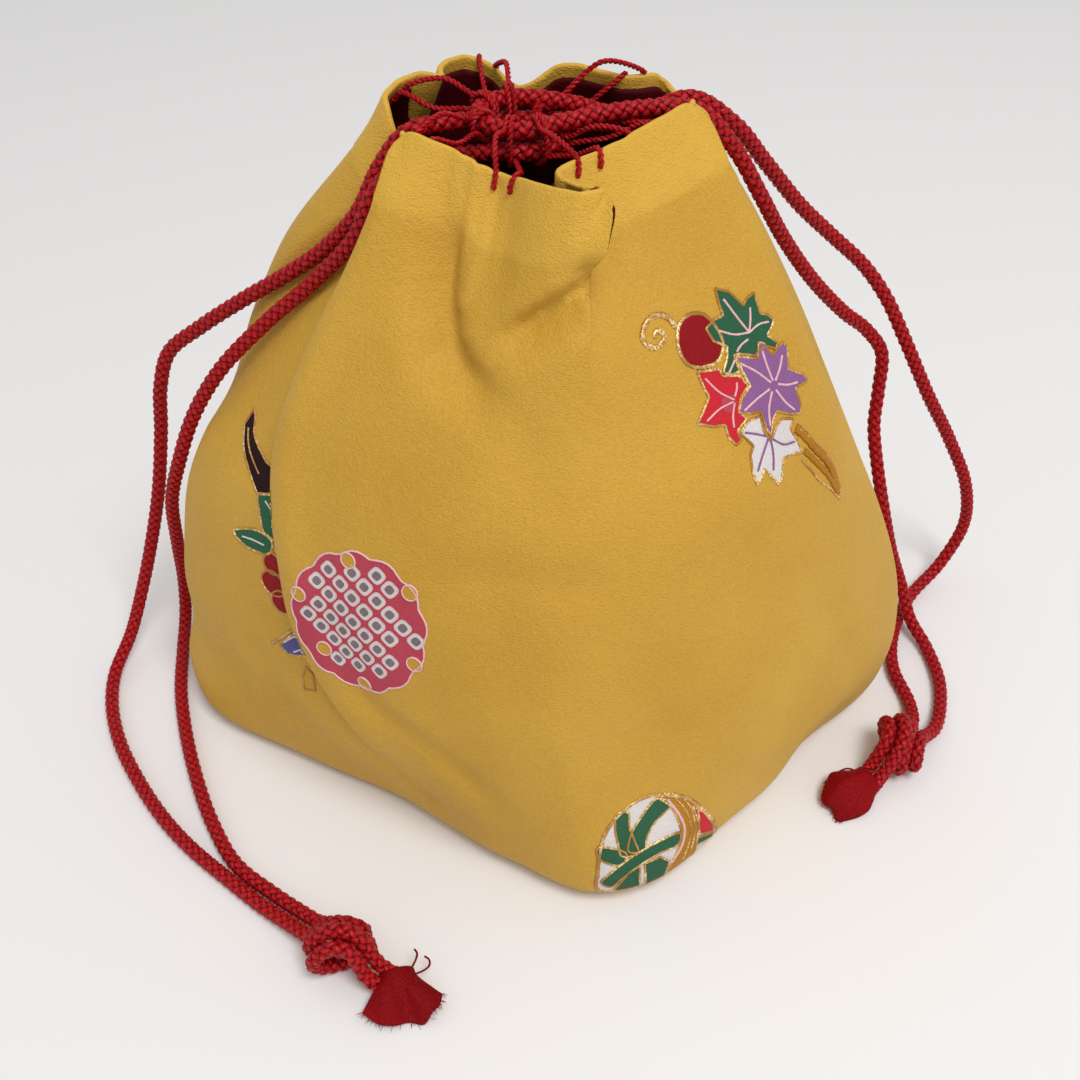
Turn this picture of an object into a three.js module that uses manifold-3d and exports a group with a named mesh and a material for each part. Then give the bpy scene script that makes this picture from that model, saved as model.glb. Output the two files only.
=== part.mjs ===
// Kinchaku: a soft drawstring pouch of crepe cloth, standing on its four-cornered base with its mouth
// drawn in. Millimetres, +Z up. The origin is on the surface it stands on, under the middle of the bag.
// The front is -Y.

import * as THREE from 'three';
import { mergeVertices } from 'three/addons/utils/BufferGeometryUtils.js';
import Module from 'manifold-3d';

const wasm = await Module();
wasm.setup();

// ---- driving dimensions ----
const MOUTH_HEIGHT = 192; // height of the drawn mouth's hem, before its petals and dips
const OUTER_WALL = 1.5; // the golden cloth with its turned hem
const LINING_WALL = 1.0;
const CLEARANCE = 0.3; // between pieces that touch
const LINING_DROP = 4; // how far the lining stops below the hem
const HOLLOW_COLLAR = 30; // how far the hollow is carried up through the mouth
const BAG_SEGMENTS = 72;

const CORD_DIAMETER = 4.5;
const CORD_SIDES = 8;
const CORD_STEPS = 78;
const RING_RADIUS = 12; // the turn that each cord makes inside the mouth, at its middle line
const LOWER_RING_Z = 186; // left cord
const UPPER_RING_Z = 191.3; // right cord
const ON_TABLE = 2.4; // middle line of a cord that lies on the surface

const THREAD_RADIUS = 0.7;
const LOOP_SLACK = 0.15; // how loosely a thread loop goes round the cords
const CHORD_ROOM = 1.6; // the cords' turns are faceted, so their sides come this much nearer the middle
const FOOT_DROP = 5; // how far below the hem a loop is sewn in, and how far it stands off there
const THREAD_SIDES = 6;
const THREAD_STEPS = 30;

const KNOT_RADIUS = 8.2;
const KNOT_LENGTH = 14;
const KNOT_HEIGHT = 8.5;
const TIP_LENGTH = 25;
const TIP_HEIGHT = 5.4;
const TIP_STEP = 1.6; // more room between knot and tip, because the tip turns away
const TIP_FLATTENING = 0.7;
const KNOT_SEGMENTS = 16;
const TIP_SEGMENTS = 14;

// Bag sections from the base up: height, half width (X), half depth (Y) and squareness of the rounded
// rhombus, where 2 is an ellipse and 1 is a straight-sided rhombus.
const SECTIONS = [
  { z: 0, width: 104, depth: 72, square: 1.3 },
  { z: 4, width: 110, depth: 77, square: 1.3 },
  { z: 14, width: 113, depth: 80, square: 1.32 },
  { z: 35, width: 112, depth: 81, square: 1.36 },
  { z: 60, width: 106.5, depth: 79, square: 1.43 },
  { z: 85, width: 98, depth: 72, square: 1.55 },
  { z: 110, width: 86, depth: 63, square: 1.7 },
  { z: 135, width: 73, depth: 53, square: 1.85 },
  { z: 155, width: 62, depth: 46, square: 1.95 },
  { z: 174, width: 51, depth: 39, square: 2 },
  { z: 184, width: 45, depth: 36, square: 2 },
  { z: MOUTH_HEIGHT - LINING_DROP, width: 43, depth: 35.2, square: 2 },
  { z: MOUTH_HEIGHT, width: 41, depth: 34.5, square: 2 },
];

// Valleys that the drawn mouth folds into: bearing in degrees from +X towards +Y, depth as a share of the
// radius, half width in degrees, how far the hem dips there, and how the valley swings round per mm below
// the mouth.
const VALLEYS = [
  { at: 28, deep: 0.34, wide: 19, dip: 15, swing: 0 },
  { at: 62, deep: 0.16, wide: 11, dip: 4, swing: 0 },
  { at: 112, deep: 0.18, wide: 12, dip: 5, swing: 0 },
  { at: 158, deep: 0.14, wide: 9, dip: 4, swing: 0 },
  { at: 186, deep: 0.4, wide: 21, dip: 17, swing: -0.3 },
  { at: 212, deep: 0.1, wide: 9, dip: 3, swing: 0 },
  { at: 253, deep: 0.14, wide: 12, dip: 5, swing: 0 },
  { at: 292, deep: 0.24, wide: 13, dip: 6, swing: 0 },
  { at: 328, deep: 0.12, wide: 11, dip: 4, swing: 0 },
  { at: 358, deep: 0.12, wide: 9, dip: 4, swing: 0 },
];
const VALLEY_TOP = 188; // where the valleys have their full depth
const VALLEY_FOOT = 104; // where they have run out into the body
const PETAL_RISE = 3.5; // how far the hem stands up between the valleys

// Bearings where a thread loop is sewn to the hem.
const LOOP_BEARINGS = [62, 112, 158, 212, 253, 292, 328, 358];

// Each cord's two strands, from the hem down to its knot, chosen so that they arch off the shoulder, come
// down beside the bag and lie on the surface.
const LEFT_BACK_STRAND = [
  [-38, 2, 179], [-44, 1, 168], [-54, 5, 156], [-66, 9, 146], [-79, 14, 136], [-94, 19, 124], [-105, 22, 114],
  [-110, 23, 102], [-114, 25, 84], [-119, 24, 62], [-125, 23, 42], [-131, 20, 24], [-136, 12, 10], [-140, 1, 3],
  [-138, -12, ON_TABLE], [-132, -27, ON_TABLE], [-122, -43, ON_TABLE], [-111, -57, ON_TABLE],
  [-101, -67, ON_TABLE], [-90, -76, ON_TABLE], [-78, -85.5, 2.7], [-68, -93, 4.6], [-61, -98.9, 7.6],
];
const LEFT_FRONT_STRAND = [
  [-38.5, -4.5, 176], [-44.5, -4, 164], [-57, 1, 149], [-71, 3, 136], [-86, 5, 120], [-97, 7, 103],
  [-104.5, 8, 86], [-111, 12, 68], [-115, 18, 46], [-119, 25, 22], [-121, 24, 7], [-120, 11, ON_TABLE],
  [-117, -6, ON_TABLE], [-112, -23, ON_TABLE], [-105, -41, ON_TABLE], [-97, -56, ON_TABLE], [-87, -68, ON_TABLE],
  [-75, -79.5, 2.7], [-65, -88.5, 4.6], [-57.9, -95, 7.6],
];
const RIGHT_OUTER_STRAND = [
  [48, 22, 181], [58, 29, 168], [71, 38, 151], [83, 45, 138], [95, 49, 126], [103, 48, 116], [110, 46, 104],
  [121, 45, 84], [134, 49, 62], [144, 50, 42], [148, 52, 22], [142, 48, 8], [130, 37, ON_TABLE],
  [120, 18, ON_TABLE], [117, 3, ON_TABLE], [119, -11, ON_TABLE], [118, -20, 4.2], [114.7, -26.8, 7.6],
];
const RIGHT_INNER_STRAND = [
  [48, 16, 177], [56, 18, 164], [65, 25, 148], [77, 34, 130], [90, 43, 114], [99, 48, 105], [105, 48, 97],
  [106, 46, 84], [106, 43, 73], [108, 39, 62], [112, 33, 46], [117, 31, 30], [123, 30, 15], [126, 22, 6.5],
  [130, 13, 2.6], [131, -2, ON_TABLE], [128.5, -14, ON_TABLE], [124, -24, 4.2], [117.9, -30.6, 7.6],
];

const LEFT_KNOT = { x: -53, y: -102, bearing: -38, tipBearing: -49 };
const RIGHT_KNOT = { x: 110, y: -34, bearing: -140, tipBearing: -137 };

// ---- materials ----
const CLOTH = { color: 0xc99c3f, roughness: 0.78, metalness: 0 };
const LINING = { color: 0x5a0c14, roughness: 0.7, metalness: 0 };
const CORD = { color: 0xa3121e, roughness: 0.55, metalness: 0 };
const THREAD = { color: 0xa8151f, roughness: 0.5, metalness: 0 };
const SCRAP = { color: 0x8e1019, roughness: 0.75, metalness: 0 };

const pouch = new THREE.Group();

function addPiece(name, geometry, finish) {
  const mesh = new THREE.Mesh(geometry, new THREE.MeshStandardMaterial(finish));
  mesh.name = name;
  pouch.add(mesh);
  return mesh;
}

// ---- the bag's form ----
const smooth = (from, to, value) => THREE.MathUtils.smoothstep(value, from, to);

function degreesApart(a, b) {
  const gap = Math.abs(a - b) % 360;
  return Math.min(gap, 360 - gap);
}

// How far a bearing lies in a valley: 1 on its middle line, 0 well outside it, with a rounded floor.
function inValley(valley, bearing, z) {
  const middle = valley.at - valley.swing * (z - MOUTH_HEIGHT);
  return Math.exp(-((degreesApart(bearing, middle) / valley.wide) ** 4));
}

function sectionAt(z) {
  const above = Math.max(1, SECTIONS.findIndex((section) => section.z >= z));
  const low = SECTIONS[above - 1];
  const high = SECTIONS[above];
  const share = THREE.MathUtils.clamp((z - low.z) / (high.z - low.z), 0, 1);
  const mix = (key) => THREE.MathUtils.lerp(low[key], high[key], share);
  return { width: mix('width'), depth: mix('depth'), square: mix('square') };
}

// Distance from the bag's axis to its outer face at a bearing and a height.
function outerRadius(bearing, z) {
  const { width, depth, square } = sectionAt(z);
  const angle = THREE.MathUtils.degToRad(bearing);
  const across = (Math.abs(Math.cos(angle)) / width) ** square;
  const along = (Math.abs(Math.sin(angle)) / depth) ** square;
  const open = (across + along) ** (-1 / square);
  const drawn = smooth(VALLEY_FOOT, VALLEY_TOP, z);
  const shares = VALLEYS.map((valley) => 1 - valley.deep * drawn * inValley(valley, bearing, z));
  return open * shares.reduce((product, share) => product * share, 1);
}

// How far the hem stands above or below its mean height at a bearing.
function hemRise(bearing) {
  const dips = VALLEYS.map((valley) => valley.dip * inValley(valley, bearing, MOUTH_HEIGHT));
  return PETAL_RISE - Math.max(...dips);
}

function hemHeight(bearing) {
  return MOUTH_HEIGHT + hemRise(bearing);
}

// The bag filled solid, inset all round from its outer face, up to a height and then straight on by a
// collar. The profile is turned round the axis and then drawn out to the bag's sections.
function makeFilledBag(inset, top, collar) {
  const meanRadius = (z) => (sectionAt(z).width + sectionAt(z).depth) / 2;
  const between = SECTIONS.map((section) => section.z).filter((z) => z > inset && z < top);
  const profile = [
    new THREE.Vector2(0, inset),
    ...[inset, ...between, top].map((z) => new THREE.Vector2(meanRadius(z) - inset, z)),
    new THREE.Vector2(0, top),
  ];
  const geometry = new THREE.LatheGeometry(profile, BAG_SEGMENTS);
  geometry.rotateX(Math.PI / 2);

  const position = geometry.attributes.position;
  const point = new THREE.Vector3();
  for (let i = 0; i < position.count; i += 1) {
    point.fromBufferAttribute(position, i);
    const flat = Math.hypot(point.x, point.y);
    const bearing = THREE.MathUtils.radToDeg(Math.atan2(point.y, point.x));
    const stretch = flat > 1e-6 ? (outerRadius(bearing, point.z) - inset) / flat : 1;
    const rise = flat > 1e-6 ? hemRise(bearing) * smooth(VALLEY_FOOT, MOUTH_HEIGHT, point.z) : 0;
    const lift = point.z > top - 0.01 ? collar : 0;
    position.setXYZ(i, point.x * stretch, point.y * stretch, point.z + rise + lift);
  }
  return geometry;
}

function toSolid(geometry) {
  geometry.deleteAttribute('normal');
  geometry.deleteAttribute('uv');
  const merged = mergeVertices(geometry, 1e-4);
  const vertProperties = new Float32Array(merged.attributes.position.array);
  const triVerts = new Uint32Array(merged.index.array);
  return new wasm.Manifold(new wasm.Mesh({ numProp: 3, vertProperties, triVerts }));
}

function toGeometry(solid) {
  const { vertProperties, triVerts } = solid.getMesh();
  const geometry = new THREE.BufferGeometry();
  geometry.setAttribute('position', new THREE.BufferAttribute(vertProperties, 3));
  geometry.setIndex(new THREE.BufferAttribute(triVerts, 1));
  return geometry;
}

// A bag with one open mouth: the filled bag less a smaller one that comes out through its top.
function makeBag(inset, wall, drop) {
  const filled = toSolid(makeFilledBag(inset, MOUTH_HEIGHT - drop, 0));
  const hollow = toSolid(makeFilledBag(inset + wall, MOUTH_HEIGHT, HOLLOW_COLLAR));
  return toGeometry(filled.subtract(hollow));
}

// ---- cords and threads ----
function roundSection(radius, sides) {
  const shape = new THREE.Shape();
  for (let i = 0; i < sides; i += 1) {
    const angle = (i * 2 * Math.PI) / sides;
    const method = i === 0 ? 'moveTo' : 'lineTo';
    shape[method](radius * Math.cos(angle), radius * Math.sin(angle));
  }
  shape.closePath();
  return shape;
}

function makeTube(points, radius, sides, steps) {
  const route = new THREE.CatmullRomCurve3(points.map((p) => new THREE.Vector3(...p)), false, 'centripetal');
  const section = roundSection(radius, sides);
  return new THREE.ExtrudeGeometry(section, { steps, extrudePath: route, bevelEnabled: false });
}

// A cord's turn inside the mouth, from one strand round to the other, about the bearing where both
// strands leave.
function ringTurn(exitBearing, z) {
  const turns = [70, 110, 145, 180, 215, 250, 290];
  return turns.map((turn) => {
    const angle = THREE.MathUtils.degToRad(exitBearing + turn);
    return [RING_RADIUS * Math.cos(angle), RING_RADIUS * Math.sin(angle), z];
  });
}

// A thread loop: from the hem's outer face over the mouth's edge, round both cords, and back to the
// lining's face.
function loopRoute(bearing) {
  const reach = CORD_DIAMETER / 2 + CLEARANCE + THREAD_RADIUS + LOOP_SLACK;
  const edge = hemHeight(bearing);
  const outer = outerRadius(bearing, MOUTH_HEIGHT);
  const inner = outer - OUTER_WALL - LINING_WALL - CLEARANCE;
  const over = UPPER_RING_Z + reach;
  const under = LOWER_RING_Z - reach;
  const quarter = (height, from) => [0, 30, 60, 90].map((turn) => {
    const around = THREE.MathUtils.degToRad(from + turn);
    return [RING_RADIUS + (reach + CHORD_ROOM) * Math.cos(around), height + reach * Math.sin(around)];
  });
  const profile = [
    [outer + FOOT_DROP, edge - FOOT_DROP],
    [outer + FOOT_DROP / 2, edge - FOOT_DROP / 10],
    [outer - FOOT_DROP / 10, Math.max(edge + 2 * THREAD_RADIUS, over - 1.2)],
    [outer - FOOT_DROP, over],
    ...quarter(UPPER_RING_Z, 90),
    ...quarter(LOWER_RING_Z, 180),
    [inner - FOOT_DROP, under],
    [inner - FOOT_DROP / 3, under],
  ];
  const angle = THREE.MathUtils.degToRad(bearing);
  return profile.map(([r, z]) => [r * Math.cos(angle), r * Math.sin(angle), z]);
}

// ---- knots and cloth tips ----
function layAlong(geometry, bearing, x, y, z) {
  geometry.rotateZ(THREE.MathUtils.degToRad(bearing - 90));
  geometry.translate(x, y, z);
  return geometry;
}

// A pulled-tight overhand knot's outer form, with flat faces where the cords enter.
function makeKnot(knot) {
  const half = KNOT_LENGTH / 2;
  const profile = [
    [0, -half], [5.6, -half], [7.6, -half * 0.55], [KNOT_RADIUS, 0], [7.6, half * 0.55], [5.2, half], [0, half],
  ];
  const points = profile.map(([r, y]) => new THREE.Vector2(r, y));
  return layAlong(new THREE.LatheGeometry(points, KNOT_SEGMENTS), knot.bearing, knot.x, knot.y, KNOT_HEIGHT);
}

// The cloth scrap bound on the cord ends: a flattened tassel, narrow at the knot.
function makeTip(knot) {
  const profile = [
    [0, 0], [3, 0], [4.2, TIP_LENGTH * 0.3], [6.6, TIP_LENGTH * 0.6], [7.2, TIP_LENGTH * 0.85],
    [5, TIP_LENGTH], [0, TIP_LENGTH],
  ];
  const geometry = new THREE.LatheGeometry(profile.map(([r, y]) => new THREE.Vector2(r, y)), TIP_SEGMENTS);
  geometry.scale(1, 1, TIP_FLATTENING);
  const start = KNOT_LENGTH / 2 + CLEARANCE + TIP_STEP;
  const away = THREE.MathUtils.degToRad(knot.bearing);
  const x = knot.x + start * Math.cos(away);
  const y = knot.y + start * Math.sin(away);
  return layAlong(geometry, knot.tipBearing, x, y, TIP_HEIGHT);
}

// ---- the pouch ----
const liningInset = OUTER_WALL + CLEARANCE;
addPiece('outer_cloth', makeBag(0, OUTER_WALL, 0), CLOTH);
addPiece('lining', makeBag(liningInset, LINING_WALL, LINING_DROP), LINING);

const leftCord = [
  ...LEFT_BACK_STRAND.toReversed(),
  [-31, 2.6, 186], [-20, 6, LOWER_RING_Z],
  ...ringTurn(180, LOWER_RING_Z).toReversed(),
  [-20, -6.5, LOWER_RING_Z], [-31, -4.4, 186],
  ...LEFT_FRONT_STRAND,
];
const rightCord = [
  ...RIGHT_INNER_STRAND.toReversed(),
  [38, 13.5, 188.5], [21, 3.5, UPPER_RING_Z],
  ...ringTurn(26, UPPER_RING_Z).toReversed(),
  [16, 16.5, UPPER_RING_Z], [36, 20.5, 190.5],
  ...RIGHT_OUTER_STRAND,
];
addPiece('drawcord_left', makeTube(leftCord, CORD_DIAMETER / 2, CORD_SIDES, CORD_STEPS), CORD);
addPiece('drawcord_right', makeTube(rightCord, CORD_DIAMETER / 2, CORD_SIDES, CORD_STEPS), CORD);

LOOP_BEARINGS.forEach((bearing, i) => {
  const thread = makeTube(loopRoute(bearing), THREAD_RADIUS, THREAD_SIDES, THREAD_STEPS);
  addPiece(`thread_loop_${i + 1}`, thread, THREAD);
});

addPiece('knot_left', makeKnot(LEFT_KNOT), CORD);
addPiece('knot_right', makeKnot(RIGHT_KNOT), CORD);
addPiece('cloth_tip_left', makeTip(LEFT_KNOT), SCRAP);
addPiece('cloth_tip_right', makeTip(RIGHT_KNOT), SCRAP);

export default pouch;
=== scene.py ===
"""Looks of a kinchaku: a standing drawstring pouch of golden crepe with braided red cords.

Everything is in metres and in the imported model's own frame: +Z up, the front is -Y, and the origin is
on the surface that the pouch stands on, under the middle of the bag.
"""

import logging
import math
from dataclasses import dataclass, field
from enum import Enum

import bpy
import numpy as np
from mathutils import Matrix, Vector, geometry
from mathutils.bvhtree import BVHTree


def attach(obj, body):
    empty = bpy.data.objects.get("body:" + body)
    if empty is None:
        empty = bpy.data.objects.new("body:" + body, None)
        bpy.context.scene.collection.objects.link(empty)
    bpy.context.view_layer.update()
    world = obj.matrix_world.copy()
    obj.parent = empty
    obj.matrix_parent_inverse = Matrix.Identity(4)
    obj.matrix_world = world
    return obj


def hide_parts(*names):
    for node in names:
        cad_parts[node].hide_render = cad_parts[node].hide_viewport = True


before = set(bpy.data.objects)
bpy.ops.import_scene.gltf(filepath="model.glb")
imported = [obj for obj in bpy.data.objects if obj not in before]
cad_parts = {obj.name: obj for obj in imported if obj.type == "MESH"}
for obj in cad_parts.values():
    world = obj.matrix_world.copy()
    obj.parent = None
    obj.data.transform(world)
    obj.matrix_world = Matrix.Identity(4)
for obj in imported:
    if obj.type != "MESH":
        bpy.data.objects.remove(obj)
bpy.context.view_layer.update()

MM = 0.001
LOG = logging.getLogger("pouch")

Pairs = tuple[tuple[float, float], ...]
Places = tuple[tuple[float, float, float], ...]


# ---------------------------------------------------------------------------------------------
# Small sums that several pieces share
# ---------------------------------------------------------------------------------------------
def ease(low: float, high: float, value: np.ndarray) -> np.ndarray:
    """Smooth step.

    Args:
        low: Where the step starts, at 0.
        high: Where it ends, at 1.
        value: What is measured.

    Returns:
        The share from 0 to 1, level at both ends.
    """
    share = np.clip((value - low) / (high - low), 0.0, 1.0)
    return share * share * (3.0 - 2.0 * share)


def follow(pairs: Pairs, value: np.ndarray) -> np.ndarray:
    """Smooth curve through pairs of numbers, level beyond their ends.

    Args:
        pairs: Places and the values there, in rising order of place.
        value: Places to read the curve at.

    Returns:
        The curve's values.
    """
    at, height = np.array(pairs, float).T
    slope = np.gradient(height, at)
    value = np.clip(value, at[0], at[-1])
    span = np.clip(np.searchsorted(at, value, side="right") - 1, 0, len(at) - 2)
    width = at[span + 1] - at[span]
    t = (value - at[span]) / width
    rise = height[span + 1] - height[span]
    limit = 3.0 * np.abs(rise)
    start = np.clip(slope[span] * width, -limit, limit)
    end = np.clip(slope[span + 1] * width, -limit, limit)
    return (
        height[span]
        + start * t
        + (3.0 * rise - 2.0 * start - end) * t**2
        + (start + end - 2.0 * rise) * t**3
    )


def unit(vectors: np.ndarray) -> np.ndarray:
    """Scales vectors to length one, along the last axis."""
    return vectors / np.maximum(np.linalg.norm(vectors, axis=-1, keepdims=True), 1e-12)


def turn_from(angles: np.ndarray, middle: float) -> np.ndarray:
    """How far round each angle is from a middle one, from -180 to 180 degrees."""
    return (angles - middle + 180.0) % 360.0 - 180.0


def distances(points: np.ndarray) -> np.ndarray:
    """How far along a line each of its points is."""
    return np.r_[0.0, np.cumsum(np.linalg.norm(np.diff(points, axis=0), axis=1))]


def turned(points: np.ndarray, angle: np.ndarray | float) -> np.ndarray:
    """Turns points about the upright axis, by an angle in radians."""
    x = points[..., 0] * np.cos(angle) - points[..., 1] * np.sin(angle)
    y = points[..., 0] * np.sin(angle) + points[..., 1] * np.cos(angle)
    return np.stack([x, y, points[..., 2]], axis=-1)


def even_steps(points: np.ndarray, step: float) -> np.ndarray:
    """Spreads points evenly along a line.

    Args:
        points: The line, close enough together to be straight in between.
        step: Distance between the new points.

    Returns:
        The new points, with the line's own ends.
    """
    along = distances(points)
    count = max(2, round(along[-1] / step) + 1)
    places = np.linspace(0.0, along[-1], count)
    return np.stack([np.interp(places, along, points[:, k]) for k in range(points.shape[1])], axis=1)


def smooth_route(places: Places, step: float) -> np.ndarray:
    """Centripetal curve through places, as a limp cord takes.

    Args:
        places: Points that the line goes through.
        step: Distance between the points returned.

    Returns:
        Points along the curve.
    """
    marks = np.array(places, float)
    marks = np.vstack([2 * marks[0] - marks[1], marks, 2 * marks[-1] - marks[-2]])
    pieces = []
    for i in range(1, len(marks) - 2):
        p0, p1, p2, p3 = marks[i - 1 : i + 3]
        t1 = np.linalg.norm(p1 - p0) ** 0.5
        t2 = t1 + np.linalg.norm(p2 - p1) ** 0.5
        t3 = t2 + np.linalg.norm(p3 - p2) ** 0.5
        t = np.linspace(t1, t2, 24, endpoint=False)[:, None]
        a1 = (t1 - t) / t1 * p0 + t / t1 * p1
        a2 = (t2 - t) / (t2 - t1) * p1 + (t - t1) / (t2 - t1) * p2
        a3 = (t3 - t) / (t3 - t2) * p2 + (t - t2) / (t3 - t2) * p3
        b1 = (t2 - t) / t2 * a1 + t / t2 * a2
        b2 = (t3 - t) / (t3 - t1) * a2 + (t - t1) / (t3 - t1) * a3
        pieces.append((t2 - t) / (t2 - t1) * b1 + (t - t1) / (t2 - t1) * b2)
    return even_steps(np.vstack([*pieces, marks[-2:-1]]), step)


def frames_along(points: np.ndarray) -> tuple[np.ndarray, np.ndarray, np.ndarray]:
    """Directions that travel along a line without twisting.

    Args:
        points: The line.

    Returns:
        At each point, the line's direction and two directions across it.
    """
    tangent = unit(np.gradient(points, axis=0))
    side = np.zeros_like(points)
    start = np.cross(tangent[0], (0.0, 0.0, 1.0))
    if np.linalg.norm(start) < 0.1:
        start = np.cross(tangent[0], (1.0, 0.0, 0.0))
    side[0] = unit(start)
    for i in range(1, len(points)):
        carried = side[i - 1] - tangent[i] * (side[i - 1] @ tangent[i])
        side[i] = carried / np.linalg.norm(carried)
    return tangent, side, np.cross(tangent, side)


def net_faces(rows: int, used: np.ndarray, columns: int) -> np.ndarray:
    """Faces of a net whose columns close round.

    Args:
        rows: How many rows it has.
        used: The columns that get faces.
        columns: How many columns it has.

    Returns:
        Four point numbers for each face.
    """
    start = (np.arange(rows - 1) * columns)[:, None]
    after = (used + 1) % columns
    quads = np.stack([start + used, start + after, start + after + columns, start + used + columns], axis=-1)
    return quads.reshape(-1, 4)


@dataclass
class MeshParts:
    """Points and faces gathered for one mesh."""

    points: list[np.ndarray] = field(default_factory=list)
    faces: list[np.ndarray] = field(default_factory=list)
    places: list[np.ndarray] = field(default_factory=list)
    finishes: list[np.ndarray] = field(default_factory=list)
    count: int = 0

    def add(
        self, points: np.ndarray, faces: np.ndarray, places: np.ndarray | None = None, finish: int = 0
    ) -> None:
        """Adds a patch.

        Args:
            points: Its points.
            faces: Its faces, counted from its own first point.
            places: Where each point lies in the piece's own map, two numbers each.
            finish: The number of its material on the piece.
        """
        self.points.append(points)
        self.faces.append(faces + self.count)
        self.finishes.append(np.full(len(faces), finish))
        self.places.append(np.zeros((len(points), 2)) if places is None else places)
        self.count += len(points)

    def tube(self, rings: np.ndarray, along: np.ndarray, closed_ends: bool = True, finish: int = 0) -> None:
        """Adds a tube from its rings of points.

        Args:
            rings: Points as (steps, sides, 3), turning right-handed about the direction of travel.
            along: Distance of each ring along the tube.
            closed_ends: Whether each end gets a fan of faces.
            finish: The number of its material on the piece.
        """
        steps, sides = rings.shape[:2]
        ring = np.arange(sides)
        ahead = (ring + 1) % sides
        around = np.tile(ring / sides, steps)
        places = np.stack([np.repeat(along, sides), around], axis=1)
        self.add(rings.reshape(-1, 3), net_faces(steps, ring, sides), places, finish)
        if closed_ends:
            for end, order in ((0, -1), (steps - 1, 1)):
                centre = rings[end].mean(axis=0, keepdims=True)
                fan = np.stack([ring, ahead, np.full(sides, sides)], axis=1)[:, ::order]
                middle = np.array([[along[end], 0.5]])
                mapped = np.vstack([places[end * sides : (end + 1) * sides], middle])
                self.add(np.vstack([rings[end], centre]), fan, mapped, finish)

    def fan(self, middle: int, first: np.ndarray, second: np.ndarray) -> None:
        """Closes a round edge with faces that meet at one point.

        Args:
            middle: The number of the point in the middle.
            first: Numbers of the edge's points, in turn.
            second: For each of those, the next one.
        """
        self.faces.append(np.stack([first, second, np.full(len(first), middle)], axis=1))
        self.finishes.append(np.zeros(len(first), int))

    def make(self, name: str, **layers: np.ndarray) -> bpy.types.Object:
        """Makes the piece.

        Args:
            name: The piece's name.
            layers: Values for each point, kept as attributes that the finishes read.

        Returns:
            The new object, smooth shaded, at the origin.
        """
        points = np.vstack(self.points)
        mesh = bpy.data.meshes.new(name)
        sizes = np.concatenate([np.full(len(f), f.shape[1]) for f in self.faces])
        corners = np.concatenate([f.ravel() for f in self.faces])
        mesh.vertices.add(len(points))
        mesh.vertices.foreach_set("co", points.astype(np.float32).ravel())
        mesh.loops.add(len(corners))
        mesh.loops.foreach_set("vertex_index", corners.astype(np.int32))
        mesh.polygons.add(len(sizes))
        mesh.polygons.foreach_set("loop_start", np.r_[0, np.cumsum(sizes)[:-1]].astype(np.int32))
        finishes = np.concatenate(self.finishes)
        if finishes.any():
            mesh.polygons.foreach_set("material_index", finishes.astype(np.int32))
        mesh.update(calc_edges=True)
        mesh.validate()
        uv = mesh.uv_layers.new(name="UVMap")
        places = np.vstack(self.places)[corners]
        if len(uv.data) == len(places):
            uv.data.foreach_set("uv", places.astype(np.float32).ravel())
        for key, values in layers.items():
            layer = mesh.attributes.new(key, "FLOAT", "POINT")
            layer.data.foreach_set("value", values.astype(np.float32).ravel())
        mesh.shade_smooth()
        piece = bpy.data.objects.new(name, mesh)
        bpy.context.scene.collection.objects.link(piece)
        return piece


def round_tube(points: np.ndarray, radius: np.ndarray | float, sides: int) -> tuple[np.ndarray, np.ndarray]:
    """Rings of a round tube.

    Args:
        points: Its middle line.
        radius: Its radius, one number or one for each point.
        sides: Points in each ring.

    Returns:
        The rings, and how far along each one is.
    """
    _, side, up = frames_along(points)
    angle = np.arange(sides) * 2 * np.pi / sides
    across = side[:, None] * np.cos(angle)[:, None] + up[:, None] * np.sin(angle)[:, None]
    width = np.broadcast_to(np.asarray(radius, float), (len(points),))
    return points[:, None] + across * width[:, None, None], distances(points)


# ---------------------------------------------------------------------------------------------
# Finishes
# ---------------------------------------------------------------------------------------------
def from_screen(red: int, green: int, blue: int) -> tuple[float, float, float, float]:
    """Turns a colour as seen on a screen, 0 to 255, into the linear colour that shaders use."""
    parts = [c / 255 for c in (red, green, blue)]
    linear = [c / 12.92 if c <= 0.04045 else ((c + 0.055) / 1.055) ** 2.4 for c in parts]
    return (*linear, 1.0)


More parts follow.
